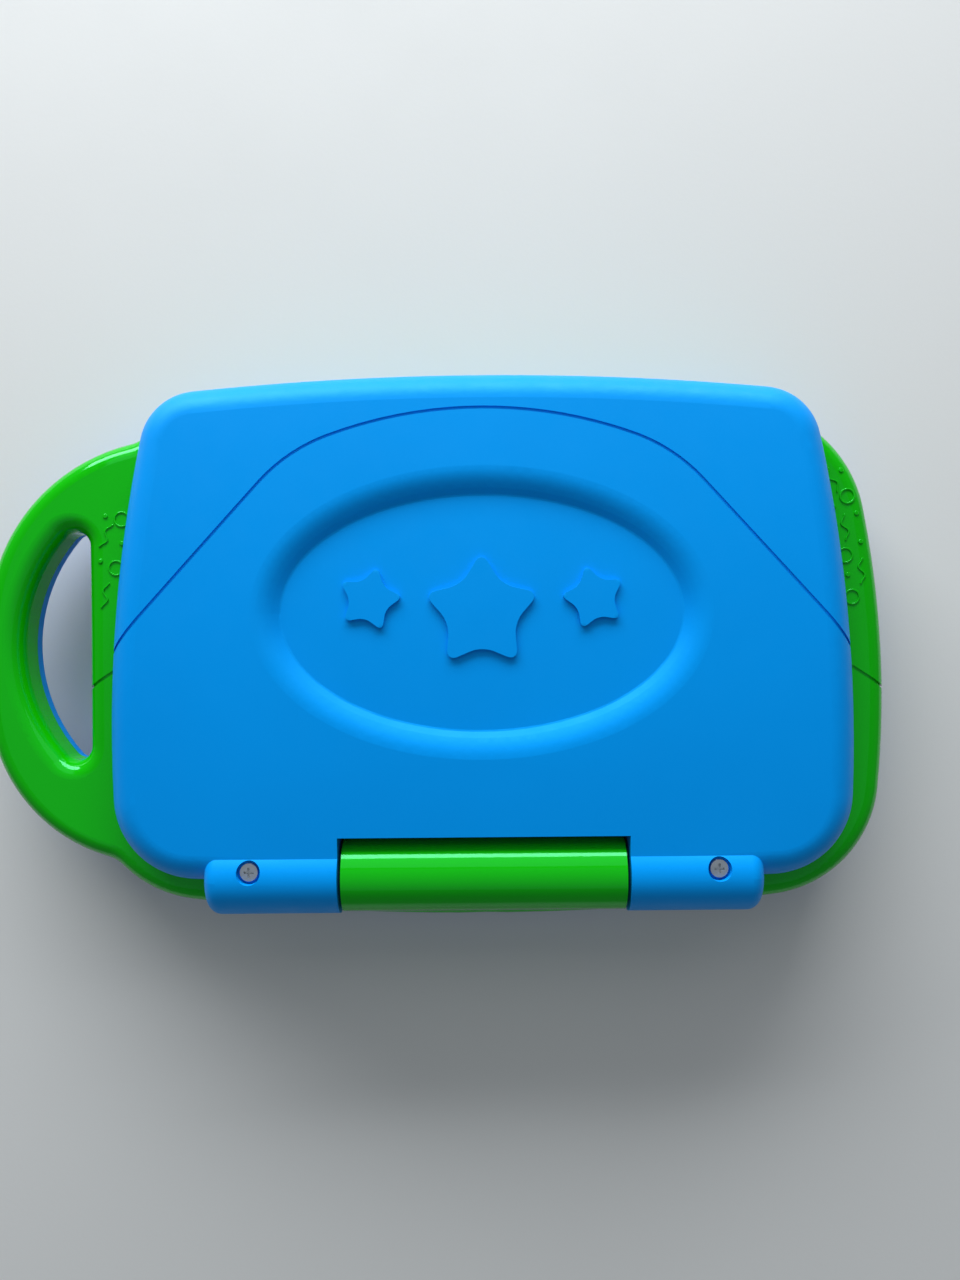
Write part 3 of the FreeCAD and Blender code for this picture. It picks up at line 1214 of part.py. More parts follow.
def battery_contacts():
    """A spring-steel contact at each end of every cell: a plate with a bowed leaf."""
    contacts = []
    tip_x = CELL_LENGTH / 2 + SEAT_GAP
    plate_x = BAY_HALF_LENGTH - CONTACT_THICKNESS
    half = CONTACT_WIDTH / 2
    for y, _ in cell_rows():
        plate = block(plate_x, BAY_HALF_LENGTH, y - half, y + half, CELL_Z - CONTACT_HEIGHT / 2,
                      CELL_Z + CONTACT_HEIGHT / 2)
        leaf = Part.Face(Part.makePolygon([
            Vector(plate_x, y - half, CELL_Z - CELL_NUB_RADIUS),
            Vector(tip_x, y, CELL_Z - CELL_NUB_RADIUS),
            Vector(plate_x, y + half, CELL_Z - CELL_NUB_RADIUS),
            Vector(plate_x, y + half - CONTACT_THICKNESS, CELL_Z - CELL_NUB_RADIUS),
            Vector(tip_x + CONTACT_THICKNESS, y, CELL_Z - CELL_NUB_RADIUS),
            Vector(plate_x, y - half + CONTACT_THICKNESS, CELL_Z - CELL_NUB_RADIUS),
            Vector(plate_x, y - half, CELL_Z - CELL_NUB_RADIUS),
        ])).extrude(Vector(0, 0, 2 * CELL_NUB_RADIUS))
        contacts += mirrored(fused([plate, leaf]))
    return contacts


def hinge_pins():
    """Two hollow pins, headed inside the barrel, on which the lid's knuckles turn."""
    head_x = BARREL_HALF_LENGTH - BARREL_END_WALL
    pin = rod(head_x, PIN_END_X, PIN_RADIUS).fuse(rod(head_x - PIN_HEAD_LENGTH, head_x, PIN_HEAD_RADIUS))
    return mirrored(pin.cut(rod(head_x - PIN_HEAD_LENGTH, PIN_END_X, PIN_BORE)))


def build_base():
    """Write the base's shells and all that they hold."""
    save("base_top_shell", base_top_shell())
    save("base_bottom_shell", base_bottom_shell())
    save("base_screws", *base_screws())
    save("rubber_feet", *[
        post(x, y, FOOT_RADIUS, 0, FLOOR_Z + FOOT_RECESS) for x, y in both_sides(FOOT_PLACES)
    ])
    save("hinge_pins", *hinge_pins())
    save("display_cable", base_cable())
    save("speaker", speaker())
    save("speaker_screws", *speaker_screws())
    save("power_slider", power_slider())
    save("power_switch", power_switch())
    save("aa_cells", *aa_cells())
    save("battery_contacts", *battery_contacts())
    save("battery_door", battery_door())
    save("battery_door_screw", screw(
        DOOR_SCREW_X, BAY_CENTRE_Y, FLOOR_Z + SMALL_HEAD_HEIGHT, DOOR_SCREW_LENGTH, True, SMALL_HEAD_RADIUS,
        SMALL_HEAD_HEIGHT, SCREW_RADIUS))


def main():
    """Build the whole object."""
    os.makedirs("parts", exist_ok=True)
    build_lid()
    build_keyboard()
    build_base()


if __name__ == "__main__":
    main()
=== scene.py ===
"""Looks of a closed toy laptop computer with a carry handle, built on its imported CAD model.

Everything is in metres in the model's own frame: +X to the handle, +Y to the hinge, +Z up from the table.
"""

import json
import logging
import math
from collections.abc import Callable
from dataclasses import dataclass, field
from enum import Enum
from typing import Any

import bmesh
import bpy
from mathutils import Euler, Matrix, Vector


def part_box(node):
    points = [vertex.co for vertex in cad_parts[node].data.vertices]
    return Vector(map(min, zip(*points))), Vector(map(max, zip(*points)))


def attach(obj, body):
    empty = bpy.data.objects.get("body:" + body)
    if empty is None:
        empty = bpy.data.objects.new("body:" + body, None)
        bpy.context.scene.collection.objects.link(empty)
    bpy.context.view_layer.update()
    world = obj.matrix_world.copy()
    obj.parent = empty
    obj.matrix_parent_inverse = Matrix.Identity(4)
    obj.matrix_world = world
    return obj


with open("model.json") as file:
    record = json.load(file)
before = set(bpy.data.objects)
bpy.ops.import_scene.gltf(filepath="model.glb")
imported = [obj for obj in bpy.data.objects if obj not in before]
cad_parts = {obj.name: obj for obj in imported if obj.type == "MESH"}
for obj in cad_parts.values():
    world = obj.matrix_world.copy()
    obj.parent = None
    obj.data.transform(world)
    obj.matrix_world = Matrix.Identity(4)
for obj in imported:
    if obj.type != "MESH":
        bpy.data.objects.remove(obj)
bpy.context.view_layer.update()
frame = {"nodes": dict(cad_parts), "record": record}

log = logging.getLogger("toy_laptop")

MM = 0.001
# The middle of the lid, about which the deck and the lid are laid out
MIDDLE = Vector((-14.6 * MM, -2.5 * MM, 0.0))
DECK_Z = 29.5 * MM
BEZEL_Z = 31.0 * MM
LENS_Z = 33.4 * MM
# Faces that meet at less than this angle shade as one surface
SOFT_EDGE = math.radians(35)
# Edges sharper than this angle are rounded
SHARP_EDGE = math.radians(40)
EDGE_SEGMENTS = 3
CORNER_SEGMENTS = 8
# The share of a print's thickness that rounds its edge
INK_EDGE = 0.25
# Sockets of the mix node when it mixes colours, where names are not unique
MIX_FACTOR = 0
MIX_FIRST = 6
MIX_SECOND = 7
MIX_RESULT = 2
# Nearly all values of a noise texture lie between these
NOISE_LOW = 0.35
NOISE_HIGH = 0.65
DAYLIGHT = (0.93, 0.97, 1.0)
SKYLIGHT = (0.86, 0.93, 1.0)


def linear(colour: str) -> tuple[float, float, float, float]:
    """Turn an sRGB hex value into a linear colour.

    Args:
        colour: The colour as #rrggbb.

    Returns:
        Red, green, blue and an alpha of one.
    """
    parts = [int(colour[at:at + 2], 16) / 255 for at in (1, 3, 5)]
    red, green, blue = [c / 12.92 if c <= 0.04045 else ((c + 0.055) / 1.055) ** 2.4 for c in parts]
    return red, green, blue, 1.0


def per_metre(size: float) -> float:
    """The texture scale that gives features of a size in millimetres."""
    return 1.0 / (size * MM)


def add_node(tree: bpy.types.NodeTree, kind: str, inputs: dict[str | int, Any] | None = None,
             **settings: Any) -> bpy.types.Node:
    """Add a shader node with its settings, values and links.

    Args:
        tree: The node tree that takes it.
        kind: Blender's name of the node.
        inputs: Input name or number to a value, or to the socket that feeds it.
        **settings: Properties of the node itself.

    Returns:
        The new node.
    """
    node = tree.nodes.new(kind)
    for name, value in settings.items():
        setattr(node, name, value)
    for name, value in (inputs or {}).items():
        if isinstance(value, bpy.types.NodeSocket):
            tree.links.new(value, node.inputs[name])
        else:
            node.inputs[name].default_value = value
    return node


class Texture(Enum):
    """How the making of a surface left it."""

    SPARK_ERODED = (1.0, 1.0, 1.0)
    POLISHED = (0.5, 0.5, 0.5)
    BRUSHED = (0.04, 1.0, 1.0)


@dataclass(frozen=True)
class Finish:
    """A surface by what it is made of: its colours, gloss and relief, with sizes in millimetres."""

    name: str
    colour: str
    shade: str
    roughness: tuple[float, float]
    texture: Texture = Texture.SPARK_ERODED
    ior: float = 1.54
    specular: float = 0.5
    sheen_tint: str = "#ffffff"
    metallic: float = 0.0
    coat: float = 0.0
    coat_roughness: float = 0.06
    transmission: float = 0.0
    subsurface: float = 0.0
    subsurface_reach: float = 1.5
    patch: float = 45.0
    smear: float = 9.0
    wave: float = 35.0
    wave_depth: float = 0.02
    grain: float = 0.9
    grain_depth: float = 0.01

    def build(self) -> bpy.types.Material:
        """Make the material.

        Returns:
            A node material named for the real one.
        """
        material = bpy.data.materials.new(self.name)
        material.use_nodes = True
        tree = material.node_tree
        tree.nodes.clear()
        place = add_node(tree, "ShaderNodeTexCoord").outputs["Object"]
        shader = add_node(tree, "ShaderNodeBsdfPrincipled", {
            "Base Color": self.paint(tree, place),
            "Roughness": self.gloss(tree, place),
            "Normal": self.relief(tree, place),
            "Metallic": self.metallic,
            "IOR": self.ior,
            "Specular IOR Level": self.specular,
            "Specular Tint": linear(self.sheen_tint),
            "Coat Weight": self.coat,
            "Coat Roughness": self.coat_roughness,
            "Transmission Weight": self.transmission,
            "Subsurface Weight": self.subsurface,
            "Subsurface Scale": self.subsurface_reach * MM,
        })
        add_node(tree, "ShaderNodeOutputMaterial", {"Surface": shader.outputs["BSDF"]})
        return material

    def paint(self, tree: bpy.types.NodeTree, place: bpy.types.NodeSocket) -> bpy.types.NodeSocket:
        """Colour that drifts slowly between two tones, as pigment does in a moulding.

        Args:
            tree: The material's node tree.
            place: Object coordinates.

        Returns:
            The colour socket.
        """
        drift = add_node(tree, "ShaderNodeTexNoise", {
            "Vector": place, "Scale": per_metre(self.patch), "Detail": 2.0})
        tone = add_node(tree, "ShaderNodeMix", {
            MIX_FACTOR: drift.outputs["Fac"], MIX_FIRST: linear(self.colour),
            MIX_SECOND: linear(self.shade)}, data_type="RGBA")
        return tone.outputs[MIX_RESULT]

    def gloss(self, tree: bpy.types.NodeTree, place: bpy.types.NodeSocket) -> bpy.types.NodeSocket:
        """Roughness that varies where hands have rubbed the surface.

        Args:
            tree: The material's node tree.
            place: Object coordinates.

        Returns:
            The roughness socket.
        """
        rubs = add_node(tree, "ShaderNodeTexNoise", {
            "Vector": place, "Scale": per_metre(self.smear), "Detail": 4.0, "Roughness": 0.62})
        spread = add_node(tree, "ShaderNodeMapRange", {
            "Value": rubs.outputs["Fac"], "From Min": NOISE_LOW, "From Max": NOISE_HIGH,
            "To Min": self.roughness[0], "To Max": self.roughness[1]})
        return spread.outputs["Result"]

    def relief(self, tree: bpy.types.NodeTree, place: bpy.types.NodeSocket) -> bpy.types.NodeSocket:
        """Shallow moulding waves under the grain of the tool.

        Args:
            tree: The material's node tree.
            place: Object coordinates.

        Returns:
            The normal socket.
        """
        waves = add_node(tree, "ShaderNodeTexNoise", {
            "Vector": place, "Scale": per_metre(self.wave), "Detail": 1.0})
        sunk = add_node(tree, "ShaderNodeBump", {
            "Height": waves.outputs["Fac"], "Distance": self.wave_depth * MM, "Strength": 1.0})
        run = add_node(tree, "ShaderNodeMapping", {"Vector": place, "Scale": self.texture.value})
        grain = add_node(tree, "ShaderNodeTexNoise", {
            "Vector": run.outputs["Vector"], "Scale": per_metre(self.grain), "Detail": 3.0})
        skin = add_node(tree, "ShaderNodeBump", {
            "Height": grain.outputs["Fac"], "Distance": self.grain_depth * MM, "Strength": 1.0,
            "Normal": sunk.outputs["Normal"]})
        return skin.outputs["Normal"]


@dataclass(frozen=True)
class CircuitLaminate(Finish):
    """Glass-epoxy board under solder mask, with copper tracks showing through as lighter lines.

    The width, run and row of a track are shares of its spacing.
    """

    track: float = 2.6
    track_width: float = 0.08
    track_run: float = 1.6
    track_row: float = 0.5
    copper: str = "#2f8a4c"

    def paint(self, tree: bpy.types.NodeTree, place: bpy.types.NodeSocket) -> bpy.types.NodeSocket:
        """Solder mask with the lines of tracks under it.

        Args:
            tree: The material's node tree.
            place: Object coordinates.

        Returns:
            The colour socket.
        """
        tracks = add_node(tree, "ShaderNodeTexBrick", {
            "Vector": place, "Color1": linear(self.colour), "Color2": linear(self.shade),
            "Mortar": linear(self.copper), "Scale": per_metre(self.track),
            "Mortar Size": self.track_width, "Brick Width": self.track_run, "Row Height": self.track_row})
        return tracks.outputs["Color"]


@dataclass(frozen=True)
class LiquidCrystal(Finish):
    """Unlit liquid-crystal glass, grey with the fine grid of its cells."""

    cell: float = 1.2
    gap: str = "#7b8578"
    gap_share: float = 0.06

    def paint(self, tree: bpy.types.NodeTree, place: bpy.types.NodeSocket) -> bpy.types.NodeSocket:
        """Cells a little lighter than the gaps; drawn coarser than real so that the grid shows.

        Args:
            tree: The material's node tree.
            place: Object coordinates.

        Returns:
            The colour socket.
        """
        cells = add_node(tree, "ShaderNodeTexBrick", {
            "Vector": place, "Color1": linear(self.colour), "Color2": linear(self.shade),
            "Mortar": linear(self.gap), "Scale": per_metre(self.cell), "Mortar Size": self.gap_share,
            "Brick Width": 1.0, "Row Height": 1.0}, offset=0.0)
        return cells.outputs["Color"]


@dataclass(frozen=True)
class SleevedCell(Finish):
    """Printed film round a steel can, in two plain bands along the cell."""

    band: str = "#c98a2b"
    step: float = 40.0

    def paint(self, tree: bpy.types.NodeTree, place: bpy.types.NodeSocket) -> bpy.types.NodeSocket:
        """Two bands of colour across the length.

        Args:
            tree: The material's node tree.
            place: Object coordinates.

        Returns:
            The colour socket.
        """
        bands = add_node(tree, "ShaderNodeTexWave", {
            "Vector": place, "Scale": per_metre(self.step) / math.tau, "Distortion": 0.0})
        tone = add_node(tree, "ShaderNodeMix", {
            MIX_FACTOR: bands.outputs["Fac"], MIX_FIRST: linear(self.colour),
            MIX_SECOND: linear(self.band)}, data_type="RGBA")
        return tone.outputs[MIX_RESULT]


# Lid and belly: ABS from a spark-eroded tool, an even satin skin that blurs every light.
# The grain is drawn about twice as coarse as real so that it shows at the photograph's distance.
BLUE_ABS = Finish("textured_abs_blue", "#0096ee", "#0090e6", (0.44, 0.53), specular=0.4,
                  sheen_tint="#5cd6ff")
# Deck, barrel and handle: ABS from a polished tool, wet-looking, with sharp but slightly wavy highlights.
GREEN_ABS = Finish("polished_abs_green", "#12b402", "#10ac02", (0.05, 0.10), Texture.POLISHED,
                   sheen_tint="#8cffd0", wave=28.0, wave_depth=0.03, grain=4.0, grain_depth=0.003)
# Screen surround and key plate: white ABS with a light grain.
WHITE_ABS = Finish("textured_abs_white", "#c0c6c8", "#b9bfc2", (0.36, 0.46))
# Keys: ABS with a fine satin top.
KEY_ABS = Finish("satin_abs_key_blue", "#0d6fce", "#0b67c2", (0.28, 0.36), grain_depth=0.006)
# Ink of the key legends: a thin opaque pad print, a little glossier than the key.
WHITE_INK = Finish("pad_print_white", "#f4f6f6", "#eceff0", (0.25, 0.35), grain=0.4, grain_depth=0.004)
# Mask printed behind the edge of the window: flat black ink.
BLACK_INK = Finish("screen_print_black", "#0b0c0d", "#101214", (0.3, 0.42), grain=0.5, grain_depth=0.004)
# Floor of the studio: painted board, pale and matt, with a trace of roller texture.
PAINTED_BOARD = Finish("matt_painted_board", "#d9d9d7", "#d4d4d2", (0.6, 0.75), ior=1.45, patch=300.0,
                       smear=60.0, wave=120.0, grain=1.5, grain_depth=0.02)


def polished_abs(name: str, colour: str, shade: str) -> Finish:
    """Coloured ABS of a small glossy moulding."""
    return Finish(name, colour, shade, (0.14, 0.22), Texture.POLISHED, patch=12.0, grain=3.0,
                  grain_depth=0.004)


SLOT_FINISHES: dict[str, Finish] = {
    "blue_plastic": BLUE_ABS,
    "green_plastic": GREEN_ABS,
    "white_plastic": WHITE_ABS,
    "key_plastic": KEY_ABS,
    "mode_plastic_1": polished_abs("polished_abs_red", "#d21f2b", "#c81c28"),
    "mode_plastic_2": polished_abs("polished_abs_orange", "#f07c14", "#e87510"),
    "mode_plastic_3": polished_abs("polished_abs_yellow", "#f4c518", "#ecbd12"),
    "mode_plastic_4": polished_abs("polished_abs_leaf_green", "#37a92c", "#309f27"),
    "mode_plastic_5": polished_abs("polished_abs_violet", "#7a42ac", "#703ba1"),
    "yellow_plastic": polished_abs("polished_abs_slider_yellow", "#f6c417", "#eebb10"),
    # Chips, display frame and switch: black filled polymer, dull.
    "black_plastic": Finish("moulded_polymer_black", "#17181a", "#1d1e21", (0.42, 0.55)),
    # Dome sheet: milky silicone, soft and slightly see-through.
    "silicone": Finish("moulded_silicone", "#c7ccd0", "#bcc2c7", (0.5, 0.62), ior=1.41, subsurface=0.4),
    # Feet and bumpers: matt black rubber with a coarse skin.
    "black_rubber": Finish("moulded_rubber", "#131314", "#1b1b1c", (0.7, 0.85), ior=1.52, grain=1.2,
                           grain_depth=0.03),
    # Cable: PVC jacket, half matt.
    "cable_jacket": Finish("extruded_pvc", "#19191b", "#222225", (0.4, 0.52), Texture.BRUSHED),
    "circuit_board": CircuitLaminate("glass_epoxy_board", "#0d5a2c", "#0f6431", (0.22, 0.32), coat=0.4),
    "lcd": LiquidCrystal("liquid_crystal_glass", "#8b9686", "#95a08f", (0.12, 0.18), Texture.POLISHED,
                         ior=1.52, wave_depth=0.001, grain_depth=0.0002),
    # Window: cast acrylic, clear, with the faintest rubbing.
    "clear_lens": Finish("cast_acrylic", "#fafcfc", "#f3f7f7", (0.02, 0.06), Texture.POLISHED, ior=1.49,
                         transmission=1.0, wave_depth=0.0006, grain_depth=0.00008),
    # Speaker basket and cone: pressed steel, dark grey.
    "speaker_metal": Finish("pressed_steel", "#55585c", "#4b4e52", (0.32, 0.45), Texture.BRUSHED,
                            metallic=0.9, ior=1.5),
    "cell_can": SleevedCell("sleeved_steel_can", "#22252b", "#2a2d33", (0.25, 0.35), ior=1.5, coat=0.3),
    # Screws and pins: nickel-plated steel, turned, with dust dulling the recesses.
    "steel": Finish("nickel_plated_steel", "#c9ced3", "#aab1b8", (0.34, 0.55), Texture.BRUSHED,
                    metallic=1.0, ior=1.5, patch=2.0, smear=1.0, grain=0.5, grain_depth=0.006),
}


class FinishRack:
    """Keeps one material per finish, made when it is first asked for."""

    def __init__(self) -> None:
        """Start with no material made."""
        self._made: dict[str, bpy.types.Material] = {}

    def material(self, finish: Finish) -> bpy.types.Material:
        """Give the material of a finish.

        Args:
            finish: The finish wanted.

        Returns:
            Its material, shared by all pieces that ask for it.
        """
        if finish.name not in self._made:
            self._made[finish.name] = finish.build()
        return self._made[finish.name]

    def dress_node(self, node: str, slot: str) -> None:
        """Give a CAD node the finish of its record slot.

        Args:
            node: The node's name.
            slot: The slot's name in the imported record.
        """
        for holder in frame["nodes"][node].material_slots:
            holder.material = self.material(SLOT_FINISHES[slot])
        log.info("%s: %s", node, SLOT_FINISHES[slot].name)

    def dress_piece(self, piece: bpy.types.Object, finish: Finish, slot: str, body: str) -> None:
        """Finish a new piece and let it ride on its body.

        Args:
            piece: The finished mesh object.
            finish: Its finish.
            slot: Not used.
            body: The CAD body it moves with.
        """
        piece.data.materials.clear()
        piece.data.materials.append(self.material(finish))
        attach(piece, body)
        log.info("%s: %s on %s, %d faces", piece.name, finish.name, body, len(piece.data.polygons))


def alone(piece: bpy.types.Object) -> None:
    """Select one object and nothing else, so that an operator acts on it alone.

    Args:
        piece: The object to act on.
    """
    bpy.ops.object.select_all(action="DESELECT")
    piece.select_set(True)
    bpy.context.view_layer.objects.active = piece


def start(name: str) -> bpy.types.Object:
    """Name the primitive that was just added and select it alone.

    Args:
        name: The piece's name.

    Returns:
        The new object.
    """
    piece = bpy.context.object
    piece.name = name
    piece.data.name = name
    alone(piece)
    return piece


def settle(piece: bpy.types.Object) -> None:
    """Put a piece's place, turn and scale into its mesh."""
    alone(piece)
    bpy.ops.object.transform_apply(location=True, rotation=True, scale=True)


def select_vertices(piece: bpy.types.Object, test: Callable[[bmesh.types.BMVert], bool]) -> None:
    """In edit mode, select the vertices that pass a test and nothing else.

    Args:
        piece: The object in edit mode.
        test: Says whether a vertex is wanted.
    """
    mesh = bmesh.from_edit_mesh(piece.data)
    for face in mesh.faces:
        face.select_set(False)
    for vertex in mesh.verts:
        vertex.select_set(test(vertex))
    mesh.select_flush_mode()
    bmesh.update_edit_mesh(piece.data)


def apply_modifiers(piece: bpy.types.Object) -> None:
    """Apply every modifier in order, then smooth all but the sharp edges.

    Args:
        piece: The object that carries them.
    """
    alone(piece)
    for modifier in list(piece.modifiers):
        bpy.ops.object.modifier_apply(modifier=modifier.name)
    bpy.ops.object.shade_smooth_by_angle(angle=SOFT_EDGE)


def raise_from(piece: bpy.types.Object, rise: float, edge: float, side: float = 1.0) -> None:
    """Give a flat sheet its thickness and soft edges.

    Args:
        piece: The flat sheet.
        rise: Its thickness in metres.
        edge: The radius of its edges in metres.
        side: 1 to grow along the sheet's normal, -1 to grow against it.
    """
    wall = piece.modifiers.new("wall", "SOLIDIFY")
    wall.thickness = rise
    wall.offset = side
    bevel = piece.modifiers.new("edge", "BEVEL")
    bevel.width = edge
    bevel.segments = EDGE_SEGMENTS
    bevel.limit_method = "ANGLE"
    bevel.angle_limit = SHARP_EDGE
    apply_modifiers(piece)
    even = piece.modifiers.new("even", "WEIGHTED_NORMAL")
    even.keep_sharp = True
    bpy.ops.object.modifier_apply(modifier=even.name)


def lay_on(piece: bpy.types.Object, node: str, depth: float) -> None:
    """Drop a flat sheet onto the surface of a CAD node below it.

    Args:
        piece: The sheet, above the surface.
        node: The node that carries it.
        depth: How far above the surface it ends, in metres; below it if negative.
    """
    drop = piece.modifiers.new("drop", "SHRINKWRAP")
    drop.target = frame["nodes"][node]
    drop.wrap_method = "PROJECT"
    drop.use_project_z = True
    drop.use_negative_direction = True
    drop.use_positive_direction = False
    drop.offset = depth
    apply_modifiers(piece)


def join(pieces: list[bpy.types.Object], name: str) -> bpy.types.Object:
    """Join pieces into one object.

    Args:
        pieces: The objects, of which the first takes in the rest.
        name: The joined object's name.

    Returns:
        The joined object.
    """
    alone(pieces[0])
    for piece in pieces[1:]:
        piece.select_set(True)
    bpy.ops.object.join()
    return start(name)


def copy_to(master: bpy.types.Object, place: Vector, turn: float = 0.0) -> bpy.types.Object:
    """Copy a sheet, with a mesh of its own, to another place.

    Args:
        master: The sheet, modelled about the origin.
        place: Where the copy goes.
        turn: Its turn about Z in radians.

    Returns:
        The copy, with its place in its mesh.
    """
    twin = master.copy()
    twin.data = master.data.copy()
    bpy.context.scene.collection.objects.link(twin)
    twin.location = place
    twin.rotation_euler = (0.0, 0.0, turn)
    settle(twin)
    return twin


def discard(piece: bpy.types.Object) -> None:
    """Delete a master that was only there to be copied."""
    alone(piece)
    bpy.ops.object.delete()


def disc(name: str, radius: float, points: int = 32, hole: float = 0.0) -> bpy.types.Object:
    """A flat disc or ring about the origin.

    Args:
        name: The object's name.
        radius: Its outer radius in metres.
        points: How many points its edge has.
        hole: The radius of its hole, or 0 for none.

    Returns:
        The sheet.
    """
    bpy.ops.mesh.primitive_circle_add(vertices=points, radius=radius, fill_type="NGON")
    sheet = start(name)
    bpy.ops.object.mode_set(mode="EDIT")
    bpy.ops.mesh.select_all(action="SELECT")
    if hole:
        bpy.ops.mesh.inset(thickness=radius - hole)
        bpy.ops.mesh.delete(type="FACE")
    else:
        bpy.ops.mesh.inset(thickness=radius / 2)
        bpy.ops.mesh.poke()
    bpy.ops.object.mode_set(mode="OBJECT")
    return sheet


def rounded_sheet(name: str, place: Vector, size: tuple[float, float], corner: float,
                  band: float = 0.0) -> bpy.types.Object:
    """A flat rounded rectangle, or a frame of one if a band is given.

    Args:
        name: The object's name.
        place: Its middle.
        size: Its width and depth in metres.
        corner: The radius of its corners in metres.
        band: The width of the frame, or 0 for a whole sheet.

    Returns:
        The sheet, with its place in its mesh.
    """
    bpy.ops.mesh.primitive_plane_add(size=1.0, location=place)
    sheet = start(name)
    sheet.scale = (size[0], size[1], 1.0)
    settle(sheet)
    bpy.ops.object.mode_set(mode="EDIT")
    bpy.ops.mesh.select_all(action="SELECT")
    bpy.ops.mesh.bevel(offset=corner, segments=CORNER_SEGMENTS, affect="VERTICES")
    if band:
        bpy.ops.mesh.select_all(action="SELECT")
        bpy.ops.mesh.inset(thickness=band)
        bpy.ops.mesh.delete(type="FACE")
    bpy.ops.object.mode_set(mode="OBJECT")
    return sheet


@dataclass(frozen=True)
class Star:
    """A star by its place from the dish's middle and its reach, in millimetres, and its turn in degrees."""

    name: str
    x: float
    y: float
    reach: float
    turn: float


@dataclass
class DishStars:
    """Plain raised stars moulded in the floor of the lid's oval dish.

    The waist, the rounding of the corners and the rim are shares of a star's reach.
    """

    rack: FinishRack
    body: str = "lid"
    carrier: str = "lid_outer_shell"
    centre: Vector = field(default_factory=lambda: MIDDLE + Vector((0.0, -8.5 * MM, 50.0 * MM)))
    points: int = 5
    waist: float = 0.56
    rounding: float = 0.2
    rounding_segments: int = 5
    rim: float = 0.1
    rise: float = 1.5 * MM
    sunk: float = 0.3 * MM
    edge: float = 0.8 * MM
    stars: tuple[Star, ...] = (
        Star("dish_star_middle", 0.0, 0.0, 18.0, 180.0),
        Star("dish_star_left", -33.0, -4.0, 10.0, 194.0),
        Star("dish_star_right", 33.0, -4.0, 10.0, 166.0),
    )

    def sheet(self, name: str, reach: float) -> bpy.types.Object:
        """Model one flat star about the origin, with a point along Y.

        Args:
            name: The object's name.
            reach: The reach of its points in metres.

        Returns:
            The star's sheet.
        """
        bpy.ops.mesh.primitive_circle_add(vertices=2 * self.points, radius=reach, fill_type="NGON")
        sheet = start(name)
        bpy.ops.object.mode_set(mode="EDIT")
        step = math.tau / self.points

        def is_waist(vertex: bmesh.types.BMVert) -> bool:
            """Whether a vertex lies between two points, over a quarter of a step from either."""
            turn = math.atan2(vertex.co.x, vertex.co.y) / step
            return abs(turn - round(turn)) > 0.25

        select_vertices(sheet, is_waist)
        bpy.ops.transform.resize(value=(self.waist, self.waist, 1.0), center_override=(0.0, 0.0, 0.0))
        bpy.ops.mesh.select_all(action="SELECT")
        bpy.ops.mesh.bevel(offset=reach * self.rounding, segments=self.rounding_segments, affect="VERTICES")
        bpy.ops.mesh.select_all(action="SELECT")
        bpy.ops.mesh.inset(thickness=reach * self.rim)
        bpy.ops.mesh.poke()
        bpy.ops.object.mode_set(mode="OBJECT")
        return sheet

    def build(self) -> None:
        """Model every star and set it on the dish's floor."""
        for star in self.stars:
            master = self.sheet(f"{star.name}_master", star.reach * MM)
            place = self.centre + Vector((star.x, star.y, 0.0)) * MM
            piece = copy_to(master, place, math.radians(star.turn))
            discard(master)
            piece.name = star.name
            lay_on(piece, self.carrier, -self.sunk)
            raise_from(piece, self.rise, self.edge)
            self.rack.dress_piece(piece, BLUE_ABS, "blue_plastic", self.body)


class Motif(Enum):
    """The plain motifs of the deck's relief."""

    RING = "ring"
    DOT = "dot"
    WAVE = "wave"


@dataclass(frozen=True)
class Stamp:
    """A motif with its place from the middle in millimetres, X outwards, and its turn in degrees."""

    motif: Motif
    x: float
    y: float
    turn: float = 0.0


